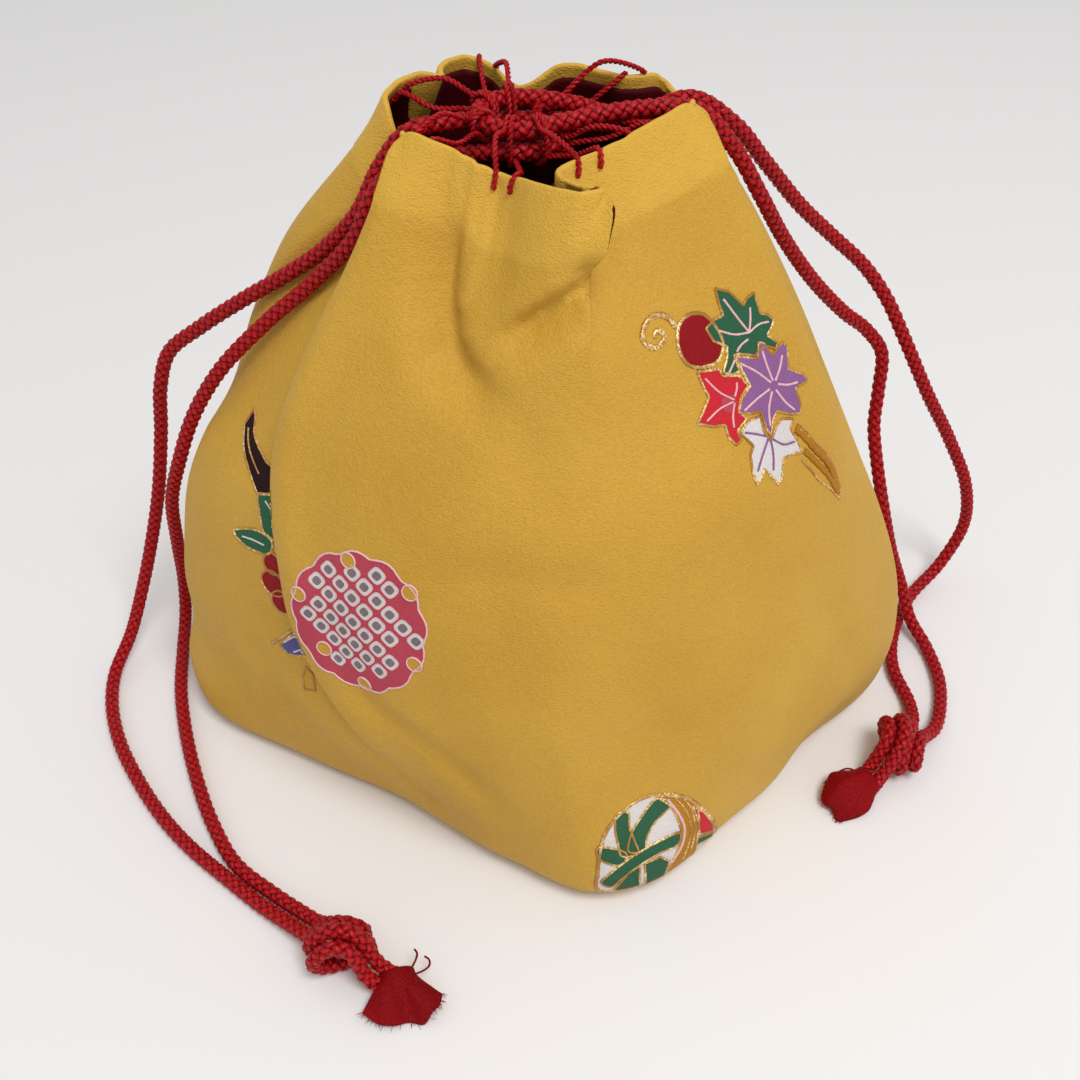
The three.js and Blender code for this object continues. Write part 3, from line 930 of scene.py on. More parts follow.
@dataclass
class BagForm:
    """The outer cloth's form, worked out over a net of places: marks round the cloth by heights up it."""

    columns: int = 440
    side_rows: int = 158
    base_rows: int = 10
    roll_rows: int = 6
    facing_rows: int = 7
    hem: float = 0.192
    fade: float = 0.088
    wall: float = 1.4 * MM
    roll: float = 0.75 * MM
    lean: float = 0.15
    band: float = 17 * MM
    facing: float = 19 * MM
    press_room: float = 3.1 * MM
    press_reach: float = 6.5 * MM
    # The open shape: height, half the width, half the depth, and how square it is.
    shares: tuple[tuple[float, float, float, float], ...] = (
        (0.000, 0.104, 0.072, 1.30), (0.004, 0.110, 0.077, 1.30), (0.014, 0.113, 0.080, 1.32),
        (0.035, 0.112, 0.081, 1.36), (0.060, 0.1065, 0.079, 1.43), (0.085, 0.098, 0.072, 1.55),
        (0.110, 0.086, 0.063, 1.70), (0.135, 0.073, 0.053, 1.85), (0.155, 0.062, 0.046, 1.95),
        (0.174, 0.051, 0.039, 2.00), (0.184, 0.045, 0.036, 2.00), (0.192, 0.041, 0.0345, 2.00),
    )
    # The hem's line: mark round the cloth, then its place.
    mouth: tuple[tuple[float, float, float, float], ...] = (
        (3, 0.0395, 0.0060, 0.1885), (13, 0.0375, 0.0115, 0.1845), (24, 0.0345, 0.0170, 0.1830),
        (35, 0.0345, 0.0228, 0.1862), (46, 0.0315, 0.0270, 0.1890), (57, 0.0275, 0.0265, 0.1915),
        (66, 0.0215, 0.0230, 0.1925), (74, 0.0160, 0.0245, 0.1930), (82, 0.0095, 0.0285, 0.1930),
        (90, 0.0035, 0.0295, 0.1920), (97, -0.0030, 0.0290, 0.1880), (103, -0.0062, 0.0300, 0.1875),
        (110, -0.0115, 0.0320, 0.1915), (119, -0.0170, 0.0325, 0.1935), (129, -0.0218, 0.0285, 0.1945),
        (137, -0.0240, 0.0230, 0.1948), (143, -0.0242, 0.0192, 0.1945), (149, -0.0285, 0.0195, 0.1948),
        (158, -0.0340, 0.0175, 0.1935), (168, -0.0366, 0.0115, 0.1925), (177, -0.0350, 0.0068, 0.1900),
        (183, -0.0332, 0.0035, 0.1840), (190, -0.0325, -0.0010, 0.1812), (197, -0.0318, -0.0060, 0.1835),
        (207, -0.0295, -0.0122, 0.1935), (221, -0.0190, -0.0170, 0.1915), (234, -0.0130, -0.0195, 0.1895),
        (250, -0.0072, -0.0222, 0.1880), (261, -0.0020, -0.0285, 0.1900), (275, 0.0045, -0.0345, 0.1910),
        (285, 0.0100, -0.0360, 0.1912), (292, 0.0128, -0.0332, 0.1912), (296, 0.0085, -0.0300, 0.1900),
        (301, 0.0048, -0.0240, 0.1895), (306, 0.0066, -0.0195, 0.1900), (314, 0.0120, -0.0160, 0.1910),
        (325, 0.0190, -0.0125, 0.1925), (337, 0.0265, -0.0075, 0.1945), (349, 0.0338, -0.0010, 0.1955),
    )
    folds: tuple[Fold, ...] = (
        Fold(
            207.0,
            ((0, 236), (0.029, 228.5), (0.046, 223), (0.060, 218), (0.074, 214), (0.092, 211), (0.107, 207),
             (0.121, 203.5), (0.135, 202.5), (0.151, 204.3), (0.165, 207.5), (0.179, 210), (0.192, 209)),
            ((0.018, 0), (0.032, 0.0006), (0.050, 0.0040), (0.075, 0.0080), (0.100, 0.0095),
             (0.130, 0.0105), (0.160, 0.0110), (0.180, 0.0120), (0.192, 0.0070)),
            15.0, FoldStyle.LAPS_OVER_LEFT, tuck=3 * MM, lip=2.4 * MM,
        ),
        Fold(
            292.0,
            ((0.140, 284), (0.160, 285), (0.168, 286.5), (0.174, 287.5), (0.180, 288), (0.186, 289),
             (0.192, 292)),
            ((0.148, 0), (0.157, 0.0012), (0.166, 0.0072), (0.175, 0.0130), (0.192, 0.0135)),
            11.0, FoldStyle.LAPS_OVER_RIGHT, tuck=7 * MM, lip=0.6 * MM,
        ),
        Fold(
            349.0,
            ((0.080, 352), (0.100, 351), (0.122, 351), (0.139, 349.5), (0.151, 349.3), (0.165, 349.5),
             (0.180, 347), (0.192, 347)),
            ((0.080, 0), (0.104, 0.0025), (0.125, 0.0060), (0.150, 0.0080), (0.192, 0.0080)),
            13.0, FoldStyle.LAPS_OVER_RIGHT, tuck=2 * MM, lip=1.6 * MM,
        ),
        Fold(28.0, ((0.104, 28), (0.192, 27)), ((0.100, 0), (0.150, 0.006), (0.192, 0.0100)), 17.0),
        Fold(
            190.0, ((0.104, 183), (0.150, 182), (0.192, 186)),
            ((0.100, 0), (0.140, 0.009), (0.192, 0.0130)), 13.0,
        ),
        Fold(100.0, ((0.120, 102), (0.192, 100)), ((0.125, 0), (0.192, 0.006)), 7.0),
        Fold(143.0, ((0.120, 146), (0.192, 143)), ((0.125, 0), (0.192, 0.004)), 6.0),
        Fold(66.0, ((0.120, 63), (0.192, 66)), ((0.130, 0), (0.192, 0.003)), 6.0),
    )
    creases: tuple[Crease, ...] = (
        Crease(((0.187, 225), (0.179, 226), (0.172, 227), (0.165, 229), (0.159, 232.5), (0.152, 239),
                (0.148, 247), (0.145, 254), (0.140, 260)), 7.4 * MM, 6.2 * MM, 0.35),
        Crease(((0.176, 290), (0.172, 286), (0.1675, 279), (0.1635, 269), (0.159, 259), (0.154, 250)),
               6.2 * MM, 5.2 * MM, 0.5, fade_first=False),
        Crease(((0.182, 310), (0.173, 306), (0.162, 302)), 2.0 * MM, 5.0 * MM, 0.3),
        Crease(((0.121, 190), (0.118, 186), (0.110, 183.5), (0.101, 182)), 2.2 * MM, 7.0 * MM, 0.6),
        Crease(((0.064, 221), (0.057, 231), (0.049, 242), (0.040, 250), (0.030, 257)),
               1.5 * MM, 6.0 * MM, 0.6),
        Crease(((0.104, 240), (0.106, 258), (0.105, 276), (0.101, 292)), 0.9 * MM, 7.0 * MM, 0.7),
        Crease(((0.050, 258), (0.057, 276), (0.058, 290), (0.052, 305)), 1.0 * MM, 9.0 * MM, 0.7),
        Crease(((0.093, 327), (0.070, 334), (0.045, 340), (0.024, 345)), 1.1 * MM, 7.0 * MM, 0.6),
        Crease(((0.040, 222), (0.026, 232), (0.012, 246)), 1.4 * MM, 6.0 * MM, 0.6),
        Crease(((0.062, 196), (0.036, 205), (0.014, 222)), 1.3 * MM, 7.0 * MM, 0.6),
        Crease(((0.150, 262), (0.135, 266), (0.118, 272)), 0.9 * MM, 8.0 * MM, 0.7),
        Crease(((0.030, 300), (0.022, 318), (0.018, 336)), 1.0 * MM, 8.0 * MM, 0.7),
        Crease(((0.120, 80), (0.090, 74), (0.060, 84)), 1.2 * MM, 9.0 * MM, 0.6),
        Crease(((0.110, 120), (0.080, 130), (0.045, 128)), 1.3 * MM, 9.0 * MM, 0.6),
        Crease(((0.060, 40), (0.040, 60), (0.034, 84)), 1.2 * MM, 9.0 * MM, 0.6),
        Crease(((0.050, 110), (0.036, 132), (0.034, 150)), 1.1 * MM, 9.0 * MM, 0.6),
        Crease(((0.140, 50), (0.120, 52), (0.098, 44)), 1.2 * MM, 8.0 * MM, 0.6),
        Crease(((0.135, 160), (0.112, 156), (0.088, 164)), 1.2 * MM, 8.0 * MM, 0.6),
    )
    bulges: tuple[Bulge, ...] = (
        Bulge(156, 0.148, 0.0110, 17, 0.027),
        Bulge(162, 0.124, 0.0040, 14, 0.015),
        Bulge(172, 0.090, 0.0050, 24, 0.026),
        Bulge(180, 0.032, -0.0035, 18, 0.014),
        Bulge(190, 0.006, 0.0060, 8, 0.014),
        Bulge(224, 0.008, -0.0050, 19, 0.020),
        Bulge(282, 0.006, 0.0074, 19, 0.024),
        Bulge(340, 0.008, -0.0065, 14, 0.018),
        Bulge(4, 0.088, -0.0035, 24, 0.028),
    )

    def marks(self) -> np.ndarray:
        """Places round the cloth in degrees, closer together at the folds."""
        fine = np.linspace(0.0, 360.0, 7201)
        density = np.ones_like(fine)
        for fold in self.folds:
            gap = turn_from(fine, fold.mark)
            closer = 0.7 if fold.style is FoldStyle.GROOVE else 3.2
            density += closer * np.exp(-((gap / 5.0) ** 2))
        summed = np.r_[0.0, np.cumsum((density[1:] + density[:-1]) / 2)]
        wanted = np.linspace(0.0, summed[-1], self.columns, endpoint=False)
        return np.interp(wanted, summed, fine)

    def heights(self) -> np.ndarray:
        """Heights of the side's rows, closer together at the foot and near the hem."""
        share = np.linspace(0.0, 1.0, self.side_rows)
        return self.hem * (share + 0.035 * np.sin(2 * np.pi * share) * (1 - share) * -1.0)

    def open_radius(self, bearing: np.ndarray, height: np.ndarray) -> np.ndarray:
        """The bag's radius before its folds, at a bearing in degrees and a height."""
        table = np.array(self.shares)
        width, depth, square = (follow(tuple(zip(table[:, 0], table[:, k])), height) for k in (1, 2, 3))
        angle = np.radians(bearing)
        across = (np.abs(np.cos(angle)) / width) ** square
        along = (np.abs(np.sin(angle)) / depth) ** square
        radius = (across + along) ** (-1.0 / square)
        return radius + sum(bulge.rise(bearing, height) for bulge in self.bulges)

    def bearings(self, marks: np.ndarray, heights: np.ndarray) -> np.ndarray:
        """Where each mark of the cloth lies round the bag, so that the folds' lines follow the net.

        Args:
            marks: Places round the cloth, in degrees.
            heights: Heights of the rows.

        Returns:
            Bearings in degrees, as (rows, columns).
        """
        ordered = sorted(self.folds, key=lambda fold: fold.mark)
        at = np.array([fold.mark for fold in ordered])
        shift = np.stack([follow(fold.line, heights) - fold.mark for fold in ordered], axis=1)
        at = np.r_[at[-1] - 360.0, at, at[0] + 360.0]
        shift = np.hstack([shift[:, -1:], shift, shift[:, :1]])
        span = np.clip(np.searchsorted(at, marks, side="right") - 1, 0, len(at) - 2)
        part = (marks - at[span]) / (at[span + 1] - at[span])
        part = part * part * (3 - 2 * part)
        return marks + shift[:, span] * (1 - part) + shift[:, span + 1] * part

    def folded(self, marks: np.ndarray, heights: np.ndarray) -> np.ndarray:
        """The wall with its folds, before the mouth is drawn in.

        Args:
            marks: Places round the cloth.
            heights: Heights of the rows.

        Returns:
            Points as (rows, columns, 3).
        """
        bearing = self.bearings(marks, heights)
        radius = self.open_radius(bearing, heights[:, None])
        sideways = np.zeros_like(radius)
        for fold in self.folds:
            depth = follow(fold.depth, heights)[:, None]
            deepest = max(pair[1] for pair in fold.depth)
            share = fold.share(marks)[None]
            radius = radius - depth * share + fold.lip * depth / deepest * fold.crest(marks)[None]
            sideways = sideways - fold.style.value * fold.tuck * depth / deepest * share
        angle = np.radians(bearing)
        x = radius * np.cos(angle) - sideways * np.sin(angle)
        y = radius * np.sin(angle) + sideways * np.cos(angle)
        lean = self.lean * (1.0 - ease(0.0, 0.115, heights))[:, None]
        return np.stack([x - lean * y, y, np.broadcast_to(heights[:, None], x.shape)], axis=-1)

    def hem_line(self, marks: np.ndarray) -> np.ndarray:
        """The hem's smooth line through the mouth's places."""
        table = np.array(self.mouth)
        table = np.vstack([table[-3:] - (360, 0, 0, 0), table, table[:3] + (360, 0, 0, 0)])
        return np.stack([follow(tuple(zip(table[:, 0], table[:, k])), marks) for k in (1, 2, 3)], axis=-1)

    @staticmethod
    def spread(offsets: np.ndarray, marks: np.ndarray, width: float) -> np.ndarray:
        """Smooths offsets round the bag.

        Args:
            offsets: An offset at each mark.
            marks: The marks, in degrees.
            width: How far the smoothing reaches, in degrees.

        Returns:
            Smoothed offsets.
        """
        even = np.arange(0.0, 360.0, 0.5)
        level = np.stack([np.interp(even, marks, offsets[:, k], period=360.0) for k in range(3)], axis=-1)
        gap = np.minimum(even, 360.0 - even)
        kernel = np.exp(-0.5 * (gap / max(width, 0.05)) ** 2)
        kernel /= kernel.sum()
        turned = np.fft.ifft(np.fft.fft(level, axis=0) * np.fft.fft(kernel)[:, None], axis=0).real
        return np.stack([np.interp(marks, even, turned[:, k], period=360.0) for k in range(3)], axis=-1)

    @staticmethod
    def normals(points: np.ndarray) -> np.ndarray:
        """Outward directions over a net whose columns close round."""
        around = np.roll(points, -1, axis=1) - np.roll(points, 1, axis=1)
        return unit(np.cross(around, np.gradient(points, axis=0)))

    def side(self, cords: list[np.ndarray]) -> np.ndarray:
        """The finished side, from the foot to the hem.

        Args:
            cords: Middle lines of the cords that press on the cloth.

        Returns:
            Points as (rows, columns, 3).
        """
        marks, heights = self.marks(), self.heights()
        points = self.folded(marks, heights)
        drawn = self.hem_line(marks) - points[-1]
        for row, height in enumerate(heights):
            below = (self.hem - height) / self.fade
            if below < 1.0:
                width = 26.0 * below**0.9
                keep = 1.0 - float(ease(0.0, 1.0, np.array(below)))
                offsets = self.spread(drawn, marks, width) if below > 0.004 else drawn
                points[row] += offsets * keep
        away = unit(points * (1.0, 1.0, 0.0))
        points = points + away * self.wrinkles(points, marks, heights)[..., None]
        return self.pressed(points, cords)

    def wrinkles(self, points: np.ndarray, marks: np.ndarray, heights: np.ndarray) -> np.ndarray:
        """Height of the soft creases, ripples and hem seam above the wall.

        Args:
            points: The wall.
            marks: Places round the cloth.
            heights: Heights of the rows.

        Returns:
            Heights in metres, as (rows, columns).
        """
        rise = np.zeros(points.shape[:2])
        bearing = self.bearings(marks, heights)
        for crease in self.creases:
            rise += self.dented(crease, points, bearing, heights)
        rng = np.random.default_rng(7)
        angle = np.radians(marks)[None]
        for _ in range(26):
            turns = rng.integers(2, 15)
            climb = rng.uniform(-55.0, 55.0)
            wave = np.sin(turns * angle + climb * heights[:, None] + rng.uniform(0, 6.28))
            rise += wave * 0.10 * MM * rng.uniform(0.4, 1.0)
        below = (self.hem - heights)[:, None]
        for _ in range(14):
            turns = rng.integers(16, 44)
            wave = np.sin(turns * angle + rng.uniform(-20, 20) * heights[:, None] + rng.uniform(0, 6.28))
            rise += wave * 0.07 * MM * rng.uniform(0.3, 1.0) * np.exp(-below / 0.022)
        seam = self.band_depth(points)
        groove = np.exp(-(((seam - self.band) / (0.9 * MM)) ** 2))
        rise += 0.35 * MM * (1.0 - ease(self.band - 1 * MM, self.band + 1 * MM, seam)) - 0.22 * MM * groove
        return rise * ease(0.0, 0.006, heights)[:, None]

    @staticmethod
    def dented(crease: Crease, points: np.ndarray, bearing: np.ndarray, heights: np.ndarray) -> np.ndarray:
        """Height of one crease above the wall.

        Args:
            crease: The crease.
            points: The wall.
            bearing: Where each place of the net lies round the bag.
            heights: Heights of the rows.

        Returns:
            Heights in metres, as (rows, columns).
        """
        count = 48
        table = np.array(crease.line)
        share = np.linspace(0, len(table) - 1, count)
        z, around = (follow(tuple(zip(range(len(table)), table[:, k])), share) for k in (0, 1))
        row = np.abs(heights[:, None] - z).argmin(axis=0)
        column = [np.abs(bearing[r] - b).argmin() for r, b in zip(row, around)]
        line = points[row, column]
        t = np.linspace(0.0, 1.0, count)
        strength = 1.0 - ease(0.65, 1.0, t)
        if crease.fade_first:
            strength *= ease(0.0, 0.35, t)
        flat = points.reshape(-1, 3)
        reach = 5.0 * crease.width
        span = np.linalg.norm(flat - line.mean(axis=0), axis=1)
        near = np.flatnonzero(span < reach + np.linalg.norm(line - line.mean(axis=0), axis=1).max())
        far = np.linalg.norm(flat[near][:, None] - line[None], axis=-1)
        closest = far.min(axis=1)
        soft = np.exp(-((far - closest[:, None]) / (0.6 * crease.width)) ** 2)
        level = (soft * strength).sum(axis=1) / soft.sum(axis=1)
        ratio = (closest / crease.width) ** 2
        rise = np.zeros(len(flat))
        rise[near] = -crease.depth * level * (1.0 - crease.swell * ratio) * np.exp(-ratio)
        return rise.reshape(points.shape[:2])

    def band_depth(self, points: np.ndarray) -> np.ndarray:
        """How far down the cloth each point is from the hem."""
        steps = np.linalg.norm(np.diff(points, axis=0), axis=-1)
        return np.vstack([np.cumsum(steps[::-1], axis=0)[::-1], np.zeros((1, points.shape[1]))])

    def pressed(self, points: np.ndarray, cords: list[np.ndarray]) -> np.ndarray:
        """Dents the cloth where a cord lies on it.

        Args:
            points: The wall.
            cords: Middle lines of the cords.

        Returns:
            The wall, clear of the cords.
        """
        room, reach = self.press_room, self.press_reach
        outward = self.normals(points)
        flat = points.reshape(-1, 3)
        direction = outward.reshape(-1, 3)
        push = np.zeros(len(flat))
        for cord in cords:
            for place in even_steps(cord, 1.5 * MM):
                away = flat - place
                near = np.flatnonzero(np.einsum("ij,ij->i", away, away) < (2 * reach) ** 2)
                if not len(near):
                    continue
                above = np.einsum("ij,ij->i", away[near], direction[near])
                beside = np.sqrt(np.maximum((away[near] ** 2).sum(axis=1) - above**2, 0.0))
                wanted = above + room * np.clip(1.0 - (beside / reach) ** 2, 0.0, 1.0) ** 1.2
                touching = (beside < reach) & (above > -reach) & (above < reach)
                push[near] = np.maximum(push[near], np.where(touching, wanted, 0.0))
        return points - outward * push.reshape(points.shape[:2])[..., None]


def skin_of(net: np.ndarray, used: np.ndarray | None = None) -> BVHTree:
    """Makes a skin that rays can be cast on.

    Args:
        net: Points as (rows, columns, 3), closing round.
        used: The columns to keep, or all of them.

    Returns:
        The skin.
    """
    rows, columns = net.shape[:2]
    used = np.arange(columns) if used is None else used
    return BVHTree.FromPolygons(net.reshape(-1, 3).tolist(), net_faces(rows, used, columns).tolist())


@dataclass
class OuterCloth:
    """The golden cloth as one sheet: underside, side, rolled hem and the facing inside the mouth."""

    form: BagForm = field(default_factory=BagForm)
    sole: float = 0.3 * MM
    sole_rise: float = 1.6 * MM
    inner_sole: float = 3.0 * MM
    hidden_gap: float = 1.0 * MM
    hidden_rows: int = 30
    most_room: float = 10 * MM
    off_skin: float = 0.15 * MM

    def build(self, cords: list[np.ndarray]) -> bpy.types.Object:
        """Makes the cloth.

        Args:
            cords: Middle lines of the cords that press on it.

        Returns:
            The piece.
        """
        form = self.form
        self.marks = form.marks()
        self.side = form.side(cords)
        self.outward = form.normals(self.side)
        self.room = self.clearance()
        columns = form.columns
        shares = np.linspace(0.0, 1.0, form.base_rows + 1)[1:-1]
        foot = self.side[0]
        base = foot * shares[:, None, None]
        base[..., 2] = self.sole + self.sole_rise * (1.0 - shares[:, None] ** 4)
        self.side[0, :, 2] = self.sole

        depth = form.band_depth(self.side)
        hem_out = self.outward[-1]
        up = unit(self.side[-1] - self.side[-3])
        angle = np.linspace(0.0, np.pi, form.roll_rows + 2)[1:-1]
        centre = self.side[-1] - hem_out * form.roll
        rolled = [centre + form.roll * (hem_out * math.cos(a) + up * math.sin(a) * 0.8) for a in angle]
        levels = np.linspace(0.2**0.5, 19.0**0.5, form.facing_rows) ** 2 * MM
        facing = [self.inside(depth, level, 2 * form.roll) for level in levels]
        longest = depth[3] - form.facing
        hidden = [
            self.inside(depth, form.facing + longest * share, self.hidden_gap)
            for share in np.linspace(0.02, 1.0, self.hidden_rows) ** 1.25
        ]
        under = [hidden[-1] * (s, s, 0) + (0, 0, self.inner_sole) for s in (0.97, 0.6, 0.25)]
        rows = np.vstack([base, self.side, *(np.array(part) for part in (rolled, facing, hidden, under))])

        parts = MeshParts()
        count = len(rows)
        low, high = (0.0, 0.0, self.sole + self.sole_rise), (0.0, 0.0, self.inner_sole)
        points = np.vstack([[low], rows.reshape(-1, 3), [high]])
        column = np.arange(columns)
        ahead = (column + 1) % columns
        up_cloth = np.repeat(np.linspace(0, 1, count), columns)
        places = np.stack([np.tile(self.marks / 360.0, count), up_cloth], axis=1)
        mapped = np.vstack([[[0.5, 0.0]], places, [[0.5, 1.0]]])
        parts.add(points, net_faces(count, column, columns) + 1, mapped)
        parts.fan(0, ahead + 1, column + 1)
        inner = (count - 1) * columns + 1
        parts.fan(len(points) - 1, inner + column, inner + ahead)
        # band marks the hem band and the facing, which the crepe draws lighter, partly as painted light.
        band = np.zeros((count, columns))
        first = len(base)
        band[first : first + len(self.side)] = 1.0 - ease(form.band - 0.8 * MM, form.band + 0.8 * MM, depth)
        band[first + len(self.side) :] = 1.0
        self.depth = depth
        self.piece = parts.make("outer_crepe", band=np.r_[0.0, band.ravel(), 0.0])
        return self.piece

    def clearance(self) -> np.ndarray:
        """How far each place of the side is from the next layer of cloth inside it, up to a limit."""
        skin = skin_of(self.side)
        room = np.full(self.side.shape[:2], self.most_room)
        for place in np.ndindex(room.shape):
            way = -self.outward[place]
            start = self.side[place] + way * self.off_skin
            met = skin.ray_cast(Vector(start), Vector(way), self.most_room)
            if met[0] is not None:
                room[place] = met[3] + self.off_skin
        for axis in (0, 1, 1):
            room = np.min([np.roll(room, k, axis=axis) for k in (-1, 0, 1)], axis=0)
        return room

    def inside(
        self, depth: np.ndarray, level: np.ndarray | float, gap: float, share: float = 0.34
    ) -> np.ndarray:
        """A row inside the cloth.

        Args:
            depth: How far each point of the side is below the hem.
            level: How far down the row is, one number or one for each column.
            gap: How far in from the outer face it lies.
            share: The most that it takes of the room to the next layer.

        Returns:
            The row's points.
        """
        wanted = np.broadcast_to(level, (depth.shape[1],))
        inner = self.side - self.outward * np.minimum(gap, self.room * share)[..., None]
        row = np.empty((depth.shape[1], 3))
        for column, axis in np.ndindex(row.shape):
            row[column, axis] = np.interp(wanted[column], depth[::-1, column], inner[::-1, column, axis])
        return row

    def dress(self, material: bpy.types.Material) -> None:
        """Gives the cloth its crepe and stands it in for the plain bag."""
        dress(self.piece, material)
        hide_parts("outer_cloth")


@dataclass
class Lining:
    """The dark red lining, sewn to the golden cloth just below its hem."""

    cloth: OuterCloth
    columns: int = 240
    every: int = 2
    rows: int = 70
    hung_rows: int = 9
    gap: float = 2.3 * MM
    thick: float = 0.5 * MM
    foot: float = 3.4 * MM
    rim: float = 2.6 * MM
    hung: float = 14 * MM
    bare_bearing: float = 143.0
    bare: float = 12 * MM
    levels: int = 100
    top: float = 0.2

    def clear_radius(self) -> np.ndarray:
        """How far out the lining may reach, at each height step and bearing."""
        side = self.cloth.side.reshape(-1, 3)
        turn = (np.degrees(np.arctan2(side[:, 1], side[:, 0])) % 360.0) * self.columns / 360.0
        level = np.clip(side[:, 2] / self.top, 0.0, 0.999) * self.levels
        radius = np.full((self.levels, self.columns), 9.0)
        cell = level.astype(int), turn.astype(int) % self.columns
        np.minimum.at(radius, cell, np.hypot(side[:, 0], side[:, 1]))
        for _ in range(2):
            grown = [np.roll(radius, k, axis=1) for k in (-1, 0, 1)]
            radius = np.min(grown, axis=0)
        for row in range(1, self.levels):
            empty = radius[row] > 1.0
            radius[row, empty] = radius[row - 1, empty]
        rows = [np.clip(np.arange(self.levels) + k, 0, self.levels - 1) for k in (-1, 0, 1)]
        lowest = np.min([radius[row] for row in rows], axis=0)
        kernel = np.exp(-0.5 * (np.arange(-4, 5) / 1.6) ** 2)
        kernel /= kernel.sum()
        soft = sum(np.roll(lowest, k, axis=1) * w for k, w in zip(range(-4, 5), kernel))
        return np.minimum(soft, lowest)

    def build(self) -> bpy.types.Object:
        """Makes the lining as one closed sheet of two faces, sewn in just below the hem."""
        radius = self.clear_radius()
        cloth, form = self.cloth, self.cloth.form
        gap = turn_from(cloth.marks, self.bare_bearing)
        rim = self.rim + self.bare * np.exp(-((gap / 6.0) ** 4))
        outer, inner = [], []
        for share in np.linspace(0.0, 1.0, self.hung_rows):
            level = rim + (self.hung - rim) * share
            out = 1.75 * MM + 0.3 * MM * share
            outer.append(cloth.inside(cloth.depth, level, out, 0.40)[:: self.every])
            inner.append(cloth.inside(cloth.depth, level, out + self.thick, 0.46)[:: self.every])
        bearing = form.bearings(cloth.marks, np.array([0.165]))[0, :: self.every]
        angle = np.radians(bearing)
        spot = bearing % 360.0 * self.columns / 360.0 - 0.5
        left = np.floor(spot).astype(int)
        part = spot - left
        top = outer[-1][:, 2] - 5 * MM
        for share in np.linspace(0.0, 1.0, self.rows):
            z = top + (self.foot - top) * share
            place = np.clip(z / self.top * self.levels - 0.5, 0, self.levels - 1.001)
            low = place.astype(int)
            rise = place - low
            near, beyond = (
                radius[low, k % self.columns] * (1 - rise) + radius[low + 1, k % self.columns] * rise
                for k in (left, left + 1)
            )
            out = near * (1 - part) + beyond * part - self.gap
            for rows, less in ((outer, 0.0), (inner, self.thick)):
                reach = out - less
                across, along = reach * np.cos(angle), reach * np.sin(angle)
                rows.append(np.stack([across, along, z + less * share], axis=1))
        total = len(outer)
        for rows, level in ((outer, self.foot), (inner, self.foot + self.thick)):
            rows += [rows[total - 1] * (s, s, 0) + (0, 0, level) for s in (0.9, 0.65, 0.4, 0.15)]
        net = np.array(outer[::-1] + inner)
        count, columns = net.shape[:2]
        parts = MeshParts()
        column = np.arange(columns)
        ahead = (column + 1) % columns
        points = np.vstack([net.reshape(-1, 3), [[0.0, 0.0, self.foot], [0.0, 0.0, self.foot + self.thick]]])
        parts.add(points, net_faces(count, column, columns))
        last = (count - 1) * columns
        parts.fan(len(points) - 2, ahead, column)
        parts.fan(len(points) - 1, last + column, last + ahead)
        self.piece = parts.make("lining_cloth")
        return self.piece

    def dress(self, material: bpy.types.Material) -> None:
        """Gives the lining its finish and stands it in for the plain one."""
        dress(self.piece, material)
        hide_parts("lining")


@dataclass
class Knot:
    """The overhand knot that joins the two ends of a drawcord, with its doubled tail."""

    cord: Drawcord
    place: tuple[float, float, float]
    bearing: float
    tail_bearing: float
    apart: float = 2.25 * MM
    core: float = 3.0 * MM
    band: Places = (
        (-9.6, 0.0, -1.0), (-6.2, 0.9, 2.4), (-2.0, 2.8, 4.9), (2.2, 5.2, 3.2), (3.8, 6.4, -0.6),
        (2.0, 4.6, -4.4), (-1.4, 0.2, -5.7), (-3.8, -4.6, -3.6), (-4.2, -6.6, 0.6), (-2.6, -5.2, 4.8),
        (0.6, -2.0, 7.5), (4.6, 0.6, 6.3), (7.8, 0.9, 2.0), (10.6, 0.3, -2.6), (14.5, 0.0, -5.0),
        (19.5, 0.0, -5.8),
    )

    def build(self) -> bpy.types.Object:
        """Makes the knot as one mesh."""
        middle = smooth_route(tuple((x * MM, y * MM, z * MM) for x, y, z in self.band), 0.5 * MM)
        ahead = unit(np.gradient(middle, axis=0))
        loose = ease(7 * MM, 11 * MM, np.abs(middle[:, 0]))[:, None]
        over = unit(unit(middle) * (1 - loose) + np.array([0.0, 0.0, 1.0]) * loose)
        beside = unit(np.cross(over, ahead))
        parts = MeshParts()
        highlight_shares = []
        for sign in (-1, 1):
            line = middle + beside * sign * self.apart
            for _ in range(6):
                line[1:-1] = (line[:-2] + line[1:-1] * 2 + line[2:]) / 4
            highlight_shares.append(self.cord.braid.gather(parts, self.placed(line)))
        levels = np.linspace(-0.94, 0.94, 9)
        turn = np.arange(12) * np.pi / 6
        wide = np.sqrt(1 - levels**2)[:, None]
        rings = [np.broadcast_to(levels[:, None], (9, 12)), np.cos(turn) * wide, np.sin(turn) * wide]
        before = parts.count
        parts.tube(self.placed(np.stack(rings, axis=-1) * self.core), levels * self.core)
        # The knot's core is drawn wholly in the braid's painted shade, standing for the shade inside the
        # knot.
        highlight_shares.append(np.zeros(parts.count - before))
        self.piece = parts.make(self.cord.knot_piece, highlight_share=np.concatenate(highlight_shares))
        return self.piece

    def placed(self, points: np.ndarray) -> np.ndarray:
        """Turns points from the knot's own directions to the pouch's, with the tail's own bearing."""
        bend = ease(6 * MM, 15 * MM, points[..., 0]) * math.radians(self.tail_bearing - self.bearing)
        return turned(points, math.radians(self.bearing) + bend) + np.array(self.place)

    def dress(self, material: bpy.types.Material) -> None:
        """Gives the knot its silk and stands it in for the plain knot."""
        dress(self.piece, material)
        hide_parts(self.cord.knot)


